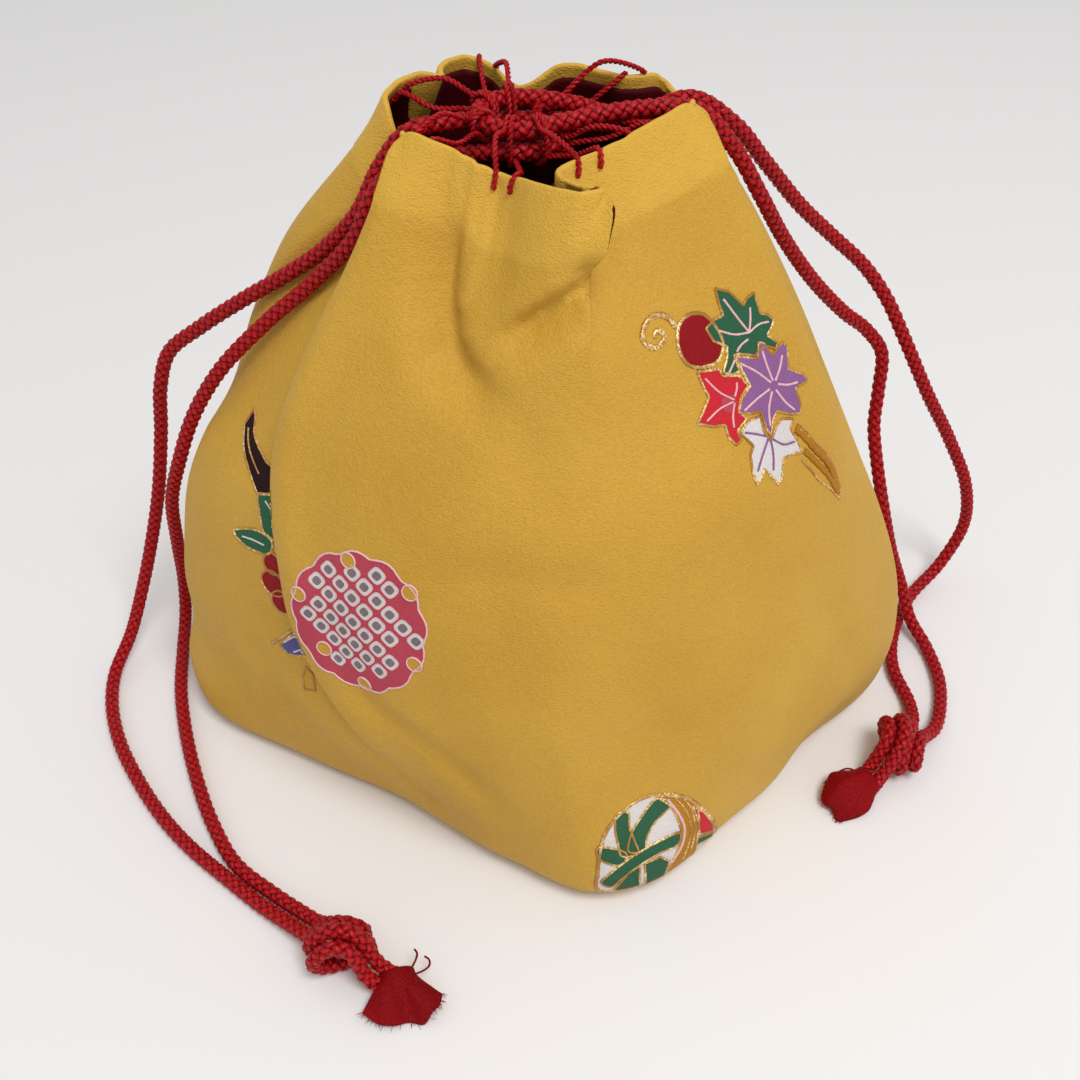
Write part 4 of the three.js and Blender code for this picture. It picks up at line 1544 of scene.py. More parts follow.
@dataclass
class ClothTip:
    """A crumpled scrap of red crepe, bound round the cord's tail, with raw edges."""

    name: str
    cord: Drawcord
    place: tuple[float, float, float]
    bearing: float
    reach: Pairs
    wide: Pairs
    thick: Pairs
    waves: float
    hairs: tuple[Places, ...]
    seed: int
    rings: int = 34
    sides: int = 72

    def build(self) -> bpy.types.Object:
        """Makes the scrap and its frayed threads as one mesh."""
        turn = np.arange(self.sides) * 2 * np.pi / self.sides
        across = np.sign(np.cos(turn)) * np.abs(np.cos(turn)) ** 0.8
        rows, rng = [], np.random.default_rng(self.seed)
        lumps = rng.uniform(0, 6.28, 4)
        for share in np.linspace(0.0, 1.0, self.rings):
            at = np.array([share])
            x = follow(self.reach, across) * share
            y = across * follow(self.wide, at) * (1 + 0.05 * np.sin(5 * share + lumps[0]))
            half = follow(self.thick, at) * np.sin(turn)
            folds = np.sin(self.waves * across + lumps[1] + 1.5 * share)
            folds = folds + 0.5 * np.sin(2.3 * self.waves * across + lumps[2] - 3 * share)
            lift = follow(((0, 3.6), (0.25, 3.6), (0.6, 3.2), (1, 2.4)), at) + folds * 1.35 * share**0.6
            rows.append(np.stack([x, y, np.maximum(lift + half, 0.35)], axis=1))
        net = np.array(rows) * MM
        parts = MeshParts()
        along = np.linspace(0.0, 18 * MM, self.rings)
        parts.tube(self.placed(net), along, closed_ends=False)
        half = self.sides // 2
        k = np.arange(half)
        mirror = (self.sides - k) % self.sides
        after = (self.sides - k - 1) % self.sides
        for row, order in ((self.rings - 1, 1), (0, -1)):
            first = row * self.sides
            faces = np.stack([k, k + 1, after, mirror], axis=1)[1:-1, ::order] + first
            caps = np.array([[0, 1, self.sides - 1], [half, half + 1, half - 1]])[:, ::order] + first
            parts.faces += [faces, caps]
            parts.finishes += [np.zeros(len(faces), int), np.zeros(2, int)]
        for hair in self.hairs:
            line = smooth_route(tuple((a * MM, b * MM, c * MM) for a, b, c in hair), 0.5 * MM)
            parts.tube(*round_tube(self.placed(line), 0.3 * MM, 6))
        edge, before = net[-1], net[-3]
        for _ in range(46):
            i = rng.integers(self.sides)
            out = unit(edge[i] - before[i]) + rng.normal(0, 0.5, 3) * (1, 1, 0.4)
            start = edge[i]
            middle = start + unit(out) * rng.uniform(0.4, 1.0) * MM
            end = middle + unit(out + rng.normal(0, 0.7, 3) * (1, 1, 0.3)) * rng.uniform(0.3, 1.1) * MM
            line = np.array([start, middle, end])
            line[:, 2] = np.maximum(line[:, 2], 0.25 * MM)
            parts.tube(*round_tube(self.placed(line), np.array([0.07, 0.06, 0.03]) * MM, 4))
        self.piece = parts.make(self.cord.tip_piece)
        return self.piece

    def placed(self, points: np.ndarray) -> np.ndarray:
        """Turns points from the scrap's own directions to the pouch's."""
        return turned(points, math.radians(self.bearing)) + np.array(self.place)

    def dress(self, material: bpy.types.Material) -> None:
        """Gives the scrap its crepe and stands it in for the plain tip."""
        dress(self.piece, material)
        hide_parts(self.name)


LEFT_KNOT = Knot(LEFT_CORD, (-0.053, -0.102, 0.0085), -38.0, -27.0)
RIGHT_KNOT = Knot(RIGHT_CORD, (0.110, -0.034, 0.0085), -140.0, -137.0)
LEFT_TIP = ClothTip(
    name="cloth_tip_left",
    cord=LEFT_CORD,
    place=(-0.0382, -0.1068, 0.0),
    bearing=-74.0,
    reach=((-1.0, 8.2), (-0.75, 11.0), (-0.3, 13.2), (0.1, 12.8), (0.45, 14.6), (0.7, 12.6), (0.88, 11.8),
           (1.0, 9.0)),
    wide=((0, 5.0), (0.15, 5.0), (0.4, 6.2), (0.7, 8.6), (1.0, 11.2)),
    thick=((0, 3.2), (0.2, 3.2), (0.5, 2.6), (0.8, 1.3), (1.0, 0.4)),
    waves=2.6,
    hairs=(
        ((1.0, 4.0, 6.0), (-0.6, 5.6, 6.8), (-2.4, 6.4, 6.8), (-4.0, 6.0, 6.4)),
        ((2.5, 4.6, 5.4), (2.4, 6.8, 5.8), (1.2, 8.8, 5.4), (-0.8, 9.2, 5.0), (-2.0, 8.2, 5.2)),
    ),
    seed=4,
)
RIGHT_TIP = ClothTip(
    name="cloth_tip_right",
    cord=RIGHT_CORD,
    place=(0.0996, -0.0432, 0.0),
    bearing=-146.0,
    reach=((-1.0, 11.0), (-0.6, 15.4), (-0.2, 16.8), (0.2, 15.8), (0.6, 16.6), (0.85, 14.8), (1.0, 10.5)),
    wide=((0, 4.8), (0.15, 5.0), (0.45, 6.4), (0.8, 7.8), (1.0, 7.0)),
    thick=((0, 3.4), (0.2, 3.4), (0.5, 3.6), (0.8, 2.6), (1.0, 0.6)),
    waves=2.4,
    hairs=(((1.0, -3.0, 4.4), (3.0, -6.0, 4.6), (5.5, -7.6, 2.6)),),
    seed=9,
)


@dataclass
class ThreadLoop:
    """A thick two-ply thread, sewn to the hem, that carries both drawcords."""

    number: int
    mark: float
    sewn_inside: bool
    hold: float
    low: float = 0.186
    high: float = 0.1913
    slack: float = 2.5 * MM
    laps: int = 2
    feet: float = 2.4 * MM
    down: float = 2.8 * MM
    ply: float = 0.40 * MM
    pitch: float = 2.7 * MM
    ring: float = Drawcord.ring_radius
    ring_middle: tuple[float, float] = Drawcord.ring_middle

    def foot(self, cloth: OuterCloth, sign: int) -> np.ndarray:
        """Where one leg leaves the cloth.

        Args:
            cloth: The golden cloth.
            sign: Which leg, -1 or 1.

        Returns:
            Places from inside the cloth to just above the hem.
        """
        hem = cloth.side[-1]
        column = int(np.abs(turn_from(cloth.marks, self.mark)).argmin())
        along = distances(np.roll(hem, -column + 60, axis=0)[:120])
        wanted = np.abs(along - along[60] - sign * self.feet).argmin()
        column = (column - 60 + int(wanted)) % len(hem)
        normal = cloth.outward[-1, column]
        rise = unit(cloth.side[-1, column] - cloth.side[-4, column])
        top = hem[column] + rise * MM - normal * 0.7 * MM
        base = hem[column] - rise * self.down
        if self.sewn_inside:
            edge = hem[column] - normal * 3.0 * MM
            return np.array([base - normal * 1.4 * MM, base - normal * 2.2 * MM, edge])
        edge = hem[column] + normal * 0.3 * MM
        return np.array([base - normal * 0.8 * MM, base + normal * 0.45 * MM, edge, top])

    def build(self, cloth: OuterCloth) -> bpy.types.Object:
        """Makes the loop.

        Args:
            cloth: The golden cloth that it is sewn to.

        Returns:
            The piece.
        """
        first, last = self.foot(cloth, -1), self.foot(cloth, 1)
        turn = math.radians(self.hold)
        out = np.array([math.cos(turn), math.sin(turn), 0.0])
        side = np.array([-math.sin(turn), math.cos(turn), 0.0])
        rim = 2.95 * MM
        heights = ((rim, self.high + 1.4 * MM), (0.0, self.high + rim), (-rim, self.high), (-rim, self.low),
                   (0.0, self.low - rim), (rim, self.low - 0.6 * MM))
        wraps = []
        for step in range(self.laps * 6):
            away, height = heights[step % 6]
            shift = (step - self.laps * 3 + 0.5) * 0.21 * MM
            wraps.append((*self.ring_middle, height) + out * (self.ring + away) + side * shift)
        over = (first[-1] + wraps[0]) / 2 + (0, 0, self.slack) - side * 1.0 * MM
        under = (last[-1] + wraps[-1]) / 2 - (0, 0, self.slack * 0.5) + side * 1.0 * MM
        places = np.vstack([first, [over], wraps, [under], last[::-1]])
        line = smooth_route(tuple(map(tuple, places)), 0.45 * MM)
        _, across, up = frames_along(line)
        along = distances(line)
        parts, highlight_shares = MeshParts(), []
        for start in (0.0, math.pi):
            angle = 2 * np.pi * along / self.pitch + start
            ply = line + (across * np.cos(angle)[:, None] + up * np.sin(angle)[:, None]) * self.ply * 0.85
            before = parts.count
            parts.tube(*round_tube(ply, self.ply, 6))
            highlight_shares.append(np.full(parts.count - before, 0.75))
        self.piece = parts.make(f"thread_loop_{self.number}_twist", highlight_share=np.concatenate(highlight_shares))
        return self.piece

    def dress(self, material: bpy.types.Material) -> None:
        """Gives the loop its thread and stands it in for the plain loop."""
        dress(self.piece, material)
        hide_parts(f"thread_loop_{self.number}")


BOTH, ONLY_RIGHT, ONLY_LEFT = (0.186, 0.1913), (0.1905, 0.1913), (0.186, 0.1868)
THREAD_LOOPS = (
    ThreadLoop(1, 64.0, False, 60.0, *ONLY_LEFT, slack=7 * MM),
    ThreadLoop(2, 112.0, False, 106.0, *BOTH, slack=3 * MM),
    ThreadLoop(3, 158.0, True, 150.0, *ONLY_RIGHT),
    ThreadLoop(4, 212.0, True, 215.0, *ONLY_RIGHT),
    ThreadLoop(5, 249.0, False, 262.0, *BOTH),
    ThreadLoop(6, 312.0, False, 300.0, *BOTH, slack=1.5 * MM),
    ThreadLoop(7, 332.0, True, 338.0, *ONLY_LEFT),
    ThreadLoop(8, 4.0, True, 15.0, *ONLY_LEFT, slack=1 * MM),
)


# ---------------------------------------------------------------------------------------------
# Dyed and outlined motifs
# ---------------------------------------------------------------------------------------------
@dataclass(frozen=True)
class Patch:
    """A dyed shape, by its outline in millimetres to the right of and above the motif's middle."""

    outline: Pairs
    dye: Dye
    edge: float = 0.75
    layer: int = 0
    rounded: bool = False
    rim: Dye | None = None


@dataclass(frozen=True)
class Stroke:
    """A raised line, of gold paint unless a dye is given."""

    line: Pairs
    wide: float
    dye: Dye | None = None


def veins(wide: float, dye: Dye, *lines: Pairs) -> tuple[Stroke, ...]:
    """Fine lines of one width and dye."""
    return tuple(Stroke(line, wide, dye) for line in lines)


@dataclass
class Motif:
    """A group of dyed shapes and painted lines that lies on the golden cloth."""

    name: str
    bearing: float
    height: float
    between: tuple[float, float]
    patches: tuple[Patch, ...]
    strokes: tuple[Stroke, ...] = ()
    grain: float = 0.9
    step: float = 0.6
    dye_lift: float = 0.10 * MM
    line_lift: float = 0.08 * MM
    layer_lift: float = 0.07 * MM
    edge_high: float = 0.26 * MM
    stroke_high: float = 0.42 * MM

    def lay_on(self, cloth: OuterCloth) -> None:
        """Finds the motif's middle and directions on the cloth.

        Args:
            cloth: The golden cloth.
        """
        low, high = self.between
        self.skin = skin_of(cloth.side, np.flatnonzero((cloth.marks >= low) & (cloth.marks <= high)))
        hits = [
            self.seen_from(self.bearing + turn, self.height + rise)
            for turn in (-4, 0, 4)
            for rise in (-8 * MM, 0, 8 * MM)
        ]
        self.middle = np.array(hits[4][0])
        self.out = unit(sum(np.array(normal) for place, normal in hits if place))
        self.right = unit(np.cross((0, 0, 1), self.out))
        self.up = np.cross(self.out, self.right)

    def seen_from(self, bearing: float, height: float) -> tuple[Vector, Vector]:
        """The cloth's place and outward direction at a bearing in degrees and a height."""
        out = Vector((math.cos(math.radians(bearing)), math.sin(math.radians(bearing)), 0.0))
        place, normal, _, _ = self.skin.ray_cast(Vector((0, 0, height)) + out * 0.3, -out)
        return place, normal if place is None or normal.dot(out) > 0 else -normal

    def press(self, flat: np.ndarray, lift: float) -> tuple[np.ndarray, np.ndarray, np.ndarray]:
        """Presses flat places onto the cloth.

        Args:
            flat: Places in millimetres, two numbers each.
            lift: How far above the cloth they come to lie.

        Returns:
            The places, the cloth's directions there, and which of them met the cloth.
        """
        places, normals = np.zeros((len(flat), 3)), np.zeros((len(flat), 3))
        met = np.zeros(len(flat), bool)
        for i, (x, y) in enumerate(flat * MM):
            start = self.middle + self.right * x + self.up * y + self.out * 0.04
            place, normal, _, _ = self.skin.ray_cast(Vector(start), Vector(-self.out))
            if place is not None:
                normal = np.array(normal)
                normal = normal if normal @ self.out > 0 else -normal
                places[i], normals[i], met[i] = np.array(place) + normal * lift, normal, True
        return places, normals, met

    @staticmethod
    def drawn(points: Pairs, rounded: bool, closed: bool, step: float) -> np.ndarray:
        """Draws a line through its points, close enough together to follow the cloth.

        Args:
            points: The line's points.
            rounded: Whether it runs smoothly through them.
            closed: Whether it comes back to its first point.
            step: Distance between the places returned.

        Returns:
            Places in millimetres.
        """
        line = np.array(points, float)
        if not rounded:
            line = np.vstack([line, line[:1]]) if closed else line
            return even_steps(line, step)
        wrapped = np.vstack([line[-3:], line, line[:4]]) if closed else line
        three = tuple((x, y, 0.0) for x, y in wrapped)
        smooth = smooth_route(three, step / 4)[:, :2]
        if closed:
            first = np.linalg.norm(smooth - line[0], axis=1)
            start = int(first[: len(first) // 2].argmin())
            end = start + 20 + int(first[start + 20 :].argmin())
            smooth = np.vstack([smooth[start:end], line[:1]])
        return even_steps(smooth, step)

    def fill(self, parts: MeshParts, patch: Patch, finish: int) -> None:
        """Adds one dyed shape.

        Args:
            parts: The mesh that it joins.
            patch: The shape.
            finish: The number of its material.
        """
        edge = self.drawn(patch.outline, patch.rounded, True, self.step)[:-1]
        spans = (np.arange(low, high, self.grain) for low, high in zip(edge.min(axis=0), edge.max(axis=0)))
        grid = np.stack(np.meshgrid(*spans), axis=-1).reshape(-1, 2)
        a, b = edge, np.roll(edge, -1, axis=0)
        crosses = (a[:, 1] > grid[:, 1:2]) != (b[:, 1] > grid[:, 1:2])
        with np.errstate(divide="ignore", invalid="ignore"):
            at = a[:, 0] + (grid[:, 1:2] - a[:, 1]) / (b[:, 1] - a[:, 1]) * (b[:, 0] - a[:, 0])
        inside = (crosses & (grid[:, :1] < at)).sum(axis=1) % 2 == 1
        clear = np.linalg.norm(grid[:, None] - edge[None], axis=-1).min(axis=1) > 0.45
        points = np.vstack([edge, grid[inside & clear]])
        whole = list(range(len(edge)))
        ring = [(i, (i + 1) % len(edge)) for i in whole]
        made = geometry.delaunay_2d_cdt([Vector(q) for q in points], ring, [whole], 1, 1e-4)
        flat = np.array([tuple(v) for v in made[0]])
        places, _, met = self.press(flat, self.dye_lift + self.layer_lift * patch.layer)
        faces = np.array([f for f in made[2] if met[list(f)].all()])
        if len(faces):
            u, v = flat[faces[:, 1]] - flat[faces[:, 0]], flat[faces[:, 2]] - flat[faces[:, 0]]
            under = u[:, 0] * v[:, 1] - u[:, 1] * v[:, 0] < 0
            faces[under] = faces[under][:, ::-1]
            parts.add(places, faces, flat * MM, finish)

    def trace(self, parts: MeshParts, line: np.ndarray, wide: float, high: float, finish: int) -> None:
        """Adds one raised line.

        Args:
            parts: The mesh that it joins.
            line: Its places in millimetres.
            wide: Its width in millimetres.
            high: How far it stands above the cloth.
            finish: The number of its material.
        """
        places, normals, met = self.press(line, self.line_lift)
        for run in np.split(np.arange(len(line)), np.flatnonzero(~met)):
            run = run[met[run]]
            if len(run) < 3:
                continue
            ahead = unit(np.gradient(places[run], axis=0))
            side = unit(np.cross(normals[run], ahead))
            angle = np.arange(6) * np.pi / 3
            number = np.arange(len(run))
            worn = 1.0 + 0.16 * np.sin(number * 1.9) * np.sin(number * 0.7 + wide)
            across = side[:, None] * (np.cos(angle) * wide / 2 * MM)[:, None] * worn[:, None, None]
            rings = places[run][:, None] + across + normals[run][:, None] * (np.sin(angle) * high)[:, None]
            parts.tube(rings[:, ::-1], distances(places[run]), finish=finish)

    def build(
        self, cloth: OuterCloth, dyes: dict[Dye, bpy.types.Material], gold: bpy.types.Material
    ) -> bpy.types.Object:
        """Makes the motif and gives it its finishes.

        Args:
            cloth: The golden cloth.
            dyes: The dyed finishes.
            gold: The gold paint.

        Returns:
            The piece.
        """
        self.lay_on(cloth)
        lined = [*(patch.rim for patch in self.patches), *(stroke.dye for stroke in self.strokes)]
        dyed = [*(patch.dye for patch in self.patches), *(dye for dye in lined if dye)]
        used = list(dict.fromkeys(dyed))
        parts = MeshParts()
        for patch in self.patches:
            self.fill(parts, patch, used.index(patch.dye))
            if patch.edge:
                edge = self.drawn(patch.outline, patch.rounded, True, self.step)
                finish = used.index(patch.rim) if patch.rim else len(used)
                high = self.edge_high + self.layer_lift * patch.layer
                self.trace(parts, edge, patch.edge, high, finish)
        for stroke in self.strokes:
            line = self.drawn(stroke.line, True, False, self.step)
            finish = used.index(stroke.dye) if stroke.dye else len(used)
            self.trace(parts, line, stroke.wide, self.stroke_high, finish)
        self.piece = parts.make(self.name)
        for dye in used:
            self.piece.data.materials.append(dyes[dye])
        self.piece.data.materials.append(gold)
        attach(self.piece, "root")
        return self.piece


LEAVES = Motif(
    name="motif_maple_leaves",
    bearing=325.0,
    height=0.145,
    between=(293.0, 348.5),
    patches=(
        Patch(
            ((0.5, -16), (2.7, -15), (6.5, -15.2), (6.3, -18.8), (7.8, -22.4), (10.8, -19.5), (13.3, -18.5),
             (17.2, -20), (15.2, -21.7), (16.9, -25.9), (17.8, -29.3), (15.4, -28.3), (10.7, -27.8),
             (8.7, -32.8), (7.5, -33.5), (5.5, -30.4), (4.1, -27.9), (2, -30), (0.8, -30.8),
             (0.2, -27.3), (0.7, -23), (2.2, -21.2), (-0.6, -17.1)),
            Dye.WHITE,
        ),
        Patch(
            ((-7.8, 1.1), (-1.7, -0.4), (-1.4, -2.2), (3.5, -3.9), (5.3, -7), (2, -8.9), (0.3, -11.7),
             (2.2, -14.3), (-1.4, -15.9), (-1.1, -18.7), (-2.7, -19), (-4.3, -16.7), (-4.4, -13.3),
             (-7.6, -12.5), (-11.6, -10.3), (-9.2, -8.1), (-6.7, -5.5), (-7.5, -2.1)),
            Dye.CORAL,
            layer=1,
        ),
        Patch(
            ((-3.2, -7), (-0.6, -7.2), (0.6, -8.6), (-0.4, -10.4), (-2.6, -11), (-4, -9.2)),
            Dye.ROSE,
            edge=0.0,
            layer=2,
            rounded=True,
        ),
        Patch(
            ((-3.7, 13.9), (-1.2, 12.8), (0.6, 10), (1.6, 7), (1.4, 4.2), (-0.9, 1.7), (-3.5, 1.2),
             (-8.2, 2.4), (-10.2, 4.5), (-10.8, 7.5), (-10.1, 10.5), (-8.6, 12.8), (-6.2, 14)),
            Dye.RED,
            edge=1.0,
            rounded=True,
        ),
        Patch(
            ((4.1, 17.3), (7.6, 15.5), (10, 12.1), (10.6, 11), (12, 12.2), (15, 12.9), (14.9, 10.1),
             (15.1, 7.6), (17.2, 6.7), (18.6, 5), (17.5, 3.5), (15.3, 2.1), (18.1, -0.6), (17, -1.9),
             (14.5, -0.3), (11.7, -0.3), (10, -1.2), (5.1, 1), (3.6, 1.1), (3.9, -2.9), (1.7, -3),
             (-0.9, -1.6), (1.3, 0.9), (2.5, 3.8), (-0.9, 6.2), (-1.9, 9.6), (1, 10.7), (4, 10.8),
             (3.9, 13.7)),
            Dye.GREEN,
            layer=1,
        ),
        Patch(
            ((4, 0.7), (10.4, -2), (12.1, 1.5), (13.5, 0.8), (15.2, -3), (19.6, -1.1), (20.8, -2.5),
             (19.4, -7.8), (24.2, -11), (25.1, -12.8), (20.2, -13.1), (20.8, -16.8), (20.2, -19.6),
             (16.4, -18.4), (12, -16), (10.2, -17.3), (8.2, -21), (7.3, -18.7), (6.9, -14.1),
             (4.1, -13.6), (0.2, -12.1), (2.5, -9.1), (5.8, -7.4), (5, -4.2)),
            Dye.LILAC,
            layer=2,
        ),
    ),
    strokes=(
        Stroke(((-9.6, 12.6), (-11, 15.4), (-13.2, 16.8), (-16, 16.6), (-18, 15.2), (-19, 13.3),
                (-18.5, 11.4), (-16.8, 10.2), (-14.6, 10.5), (-13.4, 11.9), (-14.2, 13.4),
                (-15.6, 13.2), (-15.8, 12.2)), 1.5),
        *veins(
            0.6, Dye.PALE_PINK,
            ((10, 4.6), (7.8, 9), (5.4, 14.4)), ((10, 4.6), (11.4, 7.2), (12.4, 10)),
            ((10, 4.6), (13.8, 5.4), (16.8, 5)), ((10, 4.6), (5.6, 5.6), (1.4, 8)),
            ((9, 3.2), (6.4, 2.6), (4.7, 1.6)), ((3.4, 0), (2.2, -1), (0.7, -2.2)),
        ),
        *veins(
            0.7, Dye.PALE_PINK,
            ((12.4, -8.8), (8.6, -4.6), (4.6, -1.2)), ((13.2, -8.6), (12.6, -4.6), (12.4, -0.8)),
            ((14, -9), (16.8, -6.4), (18.4, -4)), ((14.6, -10), (18, -11.4), (21.4, -12)),
            ((13.4, -11), (15.6, -15), (18.2, -18)), ((12, -11), (9.6, -14.6), (8.7, -18.6)),
            ((11.4, -10.2), (6.6, -11), (2, -12.2)),
        ),
        *veins(
            0.5, Dye.PALE_PINK,
            ((-0.1, -8.6), (-3.6, -5.4), (-6.4, -1)), ((0.4, -8), (1.6, -6.4), (2.1, -5.1)),
            ((-0.6, -9), (-4.8, -9.2), (-9, -10.6)), ((-0.2, -9.4), (-1.6, -12), (-2.2, -14.8)),
        ),
        *veins(
            0.5, Dye.LILAC,
            ((7.2, -21.2), (4.2, -24.4), (1.7, -27.6)), ((7.8, -21.6), (7.6, -25.4), (6.6, -29.3)),
            ((6.6, -20.4), (3.8, -18.8), (0.6, -17.2)), ((8.6, -22), (11.8, -24.6), (15.6, -25.4)),
        ),
        Stroke(((17.4, -22.4), (20.4, -26), (23, -29.8), (26.6, -34), (29.2, -38.2), (31.6, -45)),
               2.6, Dye.OCHRE),
        Stroke(((17.6, -22.2), (20.8, -25.6), (23.6, -29.4), (27.2, -33.6), (30, -38), (32.3, -46)), 0.5),
        Stroke(((18.8, -29), (22.6, -33.6), (27, -38.8), (31.4, -46)), 1.8, Dye.OCHRE),
        Stroke(((17, -30.8), (20, -34.8), (22.7, -38.6), (27.4, -43), (31.8, -47.8)), 0.5),
    ),
)


def dappled_disc() -> Motif:
    """The round motif of small tied squares on rose, with six golden notches on its edge."""
    turns = np.radians(np.arange(0.0, 360.0, 5.0))
    lean = math.radians(60.0)
    outline = []
    for t in turns:
        size = 0.985 + 0.065 * abs(math.sin(6.5 * t + 0.4))
        along, across = 21.8 * size * math.cos(t), 18.6 * size * math.sin(t)
        outline.append((
            -2.2 + along * math.cos(lean) - across * math.sin(lean),
            -2.3 + along * math.sin(lean) + across * math.cos(lean),
        ))
    patches = [Patch(tuple(outline), Dye.ROSE, edge=0.55, rim=Dye.PALE_PINK)]
    first, second = np.array([3.5, 4.7]), np.array([3.8, -2.65])
    rows = ((-3, -1, 0, ()), (-2, -3, 1, ()), (-1, -3, 2, ()), (0, -3, 2, ()), (1, -4, 1, ()),
            (2, -3, 1, ()), (3, -2, 1, (0,)))
    for row, low, high, missing in rows:
        for number in range(low, high + 1):
            if number in missing:
                continue
            squeeze = 1.0 - 0.035 * max(0, -number - 1) - 0.03 * max(0, number - 1)
            middle = np.array([0.3, 3.1]) + first * number * squeeze + second * row
            for share, dye, layer in ((0.455, Dye.PALE_PINK, 1), (0.40, Dye.WHITE, 2), (0.25, Dye.GREY, 3)):
                shape = []
                for t in np.radians(np.arange(15.0, 375.0, 30.0)):
                    a = np.sign(math.cos(t)) * abs(math.cos(t)) ** 0.55 * share
                    b = np.sign(math.sin(t)) * abs(math.sin(t)) ** 0.55 * share
                    shape.append(tuple(middle + first * a * 0.9 * squeeze + second * b))
                patches.append(Patch(tuple(shape), dye, edge=0.0, layer=layer))
    for x, y in ((-5.2, 16.1), (12.5, 13.2), (-20, 0.3), (15, -7.5), (-0.4, -21.4), (-12.6, -14.6)):
        angles = np.radians(np.arange(0, 360, 30))
        ring = tuple((x + 2.1 * math.cos(t), y + 2.1 * math.sin(t)) for t in angles)
        patches.append(Patch(ring, Dye.GOLD, edge=0.45, layer=2, rounded=True, rim=Dye.PALE_PINK))
    return Motif("motif_dappled_disc", 232.0, 0.086, (208.6, 290.0), tuple(patches))


SIDE_SPRAY = Motif(
    name="motif_side_spray",
    bearing=206.0,
    height=0.096,
    between=(150.0, 207.6),
    patches=(
        Patch(((-23.9, 22.3), (-25.8, 17.4), (-20.6, 12.0), (-15.0, 6.8), (-12.4, 4.3), (2, 9.4), (2, 11.6),
               (-11.6, 13.2), (-20.4, 18.0)), Dye.STEM),
        Patch(((-12.2, 4.2), (2, 9.4), (2, 4.5), (-4, -6.5), (-8.8, -5.6),
               (-10.3, -1.7)), Dye.GREEN, layer=1),
        Patch(((-20.4, -10.6), (-16.6, -8.1), (-10.7, -6.1), (-5.6, -7), (-6.4, -11.3), (-10.5, -12.5),
               (-15.6, -12.8)), Dye.GREEN, layer=1, rounded=True),
        Patch(((-8.4, -13.4), (-5.6, -10.6), (-2.4, -12), (-1.6, -15.4), (-5, -17.2), (-8, -16)), Dye.RED,
              rounded=True),
        Patch(((-9.2, -19.4), (-6, -16.4), (-2, -17.6), (-1, -22), (-5, -24), (-8.4, -22.6)), Dye.RED,
              layer=1, rounded=True),
        Patch(((-5.4, -24), (-2.6, -21.4), (1, -22.6), (1.6, -26.8), (-2, -28.2), (-4.8, -26.8)), Dye.RED,
              layer=2, rounded=True),
        Patch(((-2.8, -40), (0.5, -35.6), (4.6, -31.4), (10.2, -27.8), (12.4, -33), (8, -37.6),
               (4.3, -40.1), (0.3, -41.5)), Dye.BLUE, layer=1),
        Patch(((7, -42.6), (5.5, -47.2), (6, -51.2), (10, -49.5), (9.4, -44)), Dye.GOLD),
    ),
    strokes=(
        Stroke(((-23.2, 17.4), (-18.4, 13.2), (-13.2, 9.4)), 0.4),
        *veins(
            0.5, Dye.WHITE,
            ((-9, 3.6), (-5.6, 1), (-3.4, -3)), ((-16.6, -10.4), (-12.4, -9.6), (-8.2, -9.4)),
        ),
        *veins(
            0.6, Dye.WHITE,
            ((-1, -38), (3, -34), (9.4, -30)), ((2.6, -39.6), (6.4, -36.4), (11, -32.6)),
        ),
        Stroke(((-6, -41.2), (-2.6, -37.6), (2.4, -32.2), (9.6, -26.6)), 1.0),
    ),
)

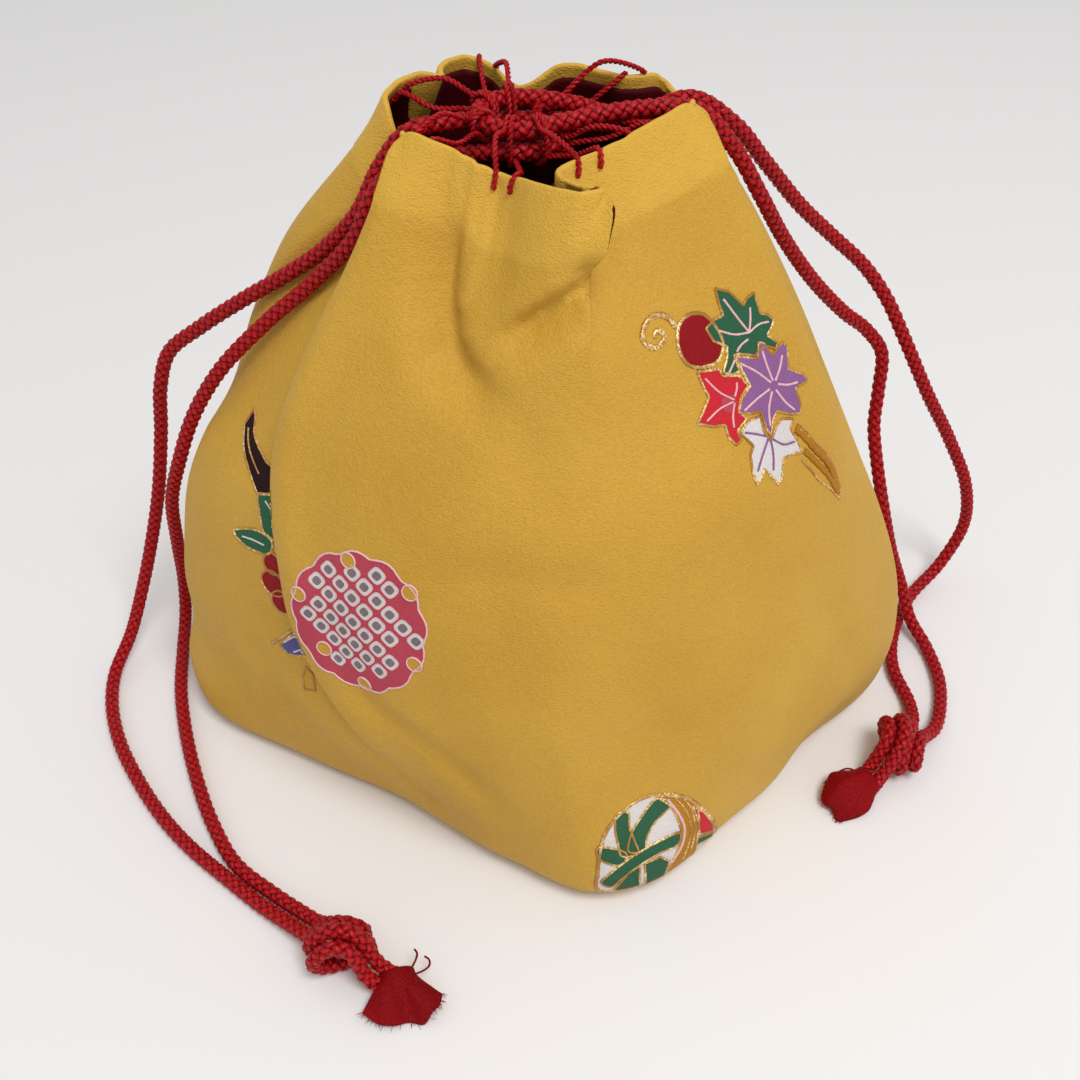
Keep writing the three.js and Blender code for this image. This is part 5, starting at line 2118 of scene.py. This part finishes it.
TEMARI = Motif(
    name="motif_thread_ball",
    bearing=298.0,
    height=0.018,
    between=(235.0, 345.0),
    patches=(
        Patch(((-24.8, -9), (-25.2, 0), (-24.9, 3.8), (-24, 8.9), (-22.8, 13), (-19.7, 18.1), (-15.4, 21),
               (-11.2, 22), (-7, 21), (-4.3, 19.9), (-0.1, 17), (4.2, 12.1), (8.4, 5.3), (12.7, -4.1),
               (14, -9), (8, -13), (-8, -14), (-18, -12)), Dye.WHITE, edge=1.2, rounded=True),
        Patch(((-7, 20.4), (-4.3, 19.4), (-0.1, 16.6), (4.2, 11.7), (5.4, 6), (5, -1), (4, -12), (-6, -12),
               (-3, -3), (-1.1, 3.3), (-1.7, 9.1), (-3.6, 15.4)), Dye.OCHRE, layer=1, rounded=True),
        Patch(((3.5, 11.2), (7.3, 6.4), (11.3, -2.1), (12.1, -6.2), (5.7, -1.4),
               (5, 4.7)), Dye.CORAL, layer=2),
        Patch(((5, -2.4), (12.4, -7.4), (13, -10.4), (5, -6)), Dye.GREEN, layer=2),
        Patch(((-18.8, 20), (-15.9, 19.2), (-16, 14), (-15.2, 9), (-14.8, 4), (-19, 4.6), (-19.6, 9.2),
               (-19.8, 15)), Dye.GREEN, layer=1, rounded=True),
        Patch(((-7.4, 20), (-3.4, 15.8), (-8.6, 12.4), (-11.6, 8.6), (-12.8, 4.6), (-17, 5.4), (-16, 11),
               (-12.4, 16)), Dye.GREEN, layer=2, rounded=True),
        Patch(((-1.6, 4.4), (-2.4, 0.6), (-8.4, 1), (-14.2, -0.4), (-18.6, -3.4), (-22, -7.6), (-24.4, -5),
               (-20.6, 0.6), (-15.8, 3.8), (-9, 5.2)), Dye.GREEN, layer=3, rounded=True),
        Patch(((-24.6, 9.4), (-20.8, 8), (-17.8, 5), (-19.6, 1.4), (-24.8, 5.4)), Dye.GREEN,
              layer=2, rounded=True),
        Patch(((-17.6, -2.2), (-14.4, -1), (-14.6, -5), (-14, -11), (-21.6, -10.6)), Dye.GREEN, layer=2),
        Patch(((-13.2, -0.6), (-8.4, -0.6), (-5.4, -4.4), (-6.4, -11), (-12.4, -12)), Dye.GREEN, layer=2),
    ),
    strokes=(
        Stroke(((-4.2, 18), (-1.2, 11), (0.2, 5), (-1, -1), (-4.4, -6)), 0.9, Dye.PALE_PINK),
        Stroke(((-1.8, 17.4), (1.2, 11), (2.2, 5), (1.6, -2), (0, -8)), 0.5),
        Stroke(((0.4, 16), (3, 10.6), (3.8, 4), (3.4, -2), (2.4, -9)), 0.5),
    ),
)

BACK_DAPPLE = Motif(
    name="motif_back_dapple",
    bearing=44.0,
    height=0.150,
    between=(36.0, 98.0),
    patches=(
        Patch(((-10, 40), (-13, 30), (-8, 18), (-2, 4), (6, 0), (14, 4), (18, 16), (15, 30),
               (8, 40)), Dye.ROSE,
              rounded=True),
        *(
            Patch(
                tuple(
                    (x * 5.0 + (y % 2) * 2.5 + 1.7 * math.cos(t), y * 4.2 + 1.5 * math.sin(t))
                    for t in np.radians(np.arange(0, 360, 45))
                ),
                Dye.WHITE,
                edge=0.0,
                layer=1,
                rounded=True,
            )
            for x in range(-2, 4)
            for y in range(1, 9)
            if ((x * 5.0 - 2) / 14.0) ** 2 + ((y * 4.2 - 20) / 19.0) ** 2 < 0.9
        ),
    ),
)


def report(name: str, piece: bpy.types.Object) -> None:
    """Logs a finished piece and its number of faces."""
    LOG.info("%s: %d faces", name, len(piece.data.polygons))


def main() -> None:
    """Builds the pouch, piece by piece."""
    logging.basicConfig(level=logging.INFO, format="%(message)s")
    Studio().build()
    braid = RED_BRAID.make()
    for cord in (LEFT_CORD, RIGHT_CORD):
        report(cord.name, cord.build())
        cord.dress(braid)
    cloth = OuterCloth()
    report("outer cloth", cloth.build([LEFT_CORD.line, RIGHT_CORD.line]))
    cloth.dress(GOLDEN_CREPE.make())
    lining = Lining(cloth)
    report("lining", lining.build())
    lining.dress(LINING_CLOTH.make())
    for knot in (LEFT_KNOT, RIGHT_KNOT):
        report(knot.cord.knot, knot.build())
        knot.dress(braid)
    scrap = SCRAP_CREPE.make()
    for tip in (LEFT_TIP, RIGHT_TIP):
        report(tip.name, tip.build())
        tip.dress(scrap)
    for cord in (LEFT_CORD, RIGHT_CORD):
        cord.declare()
    thread = RED_THREAD.make()
    for loop in THREAD_LOOPS:
        report(f"thread loop {loop.number}", loop.build(cloth))
        loop.dress(thread)
    dyes, gold = {dye: dye.finish().make() for dye in Dye}, GoldLineFinish().make()
    for motif in (LEAVES, dappled_disc(), SIDE_SPRAY, TEMARI, BACK_DAPPLE):
        report(motif.name, motif.build(cloth, dyes, gold))


if __name__ == "__main__":
    main()
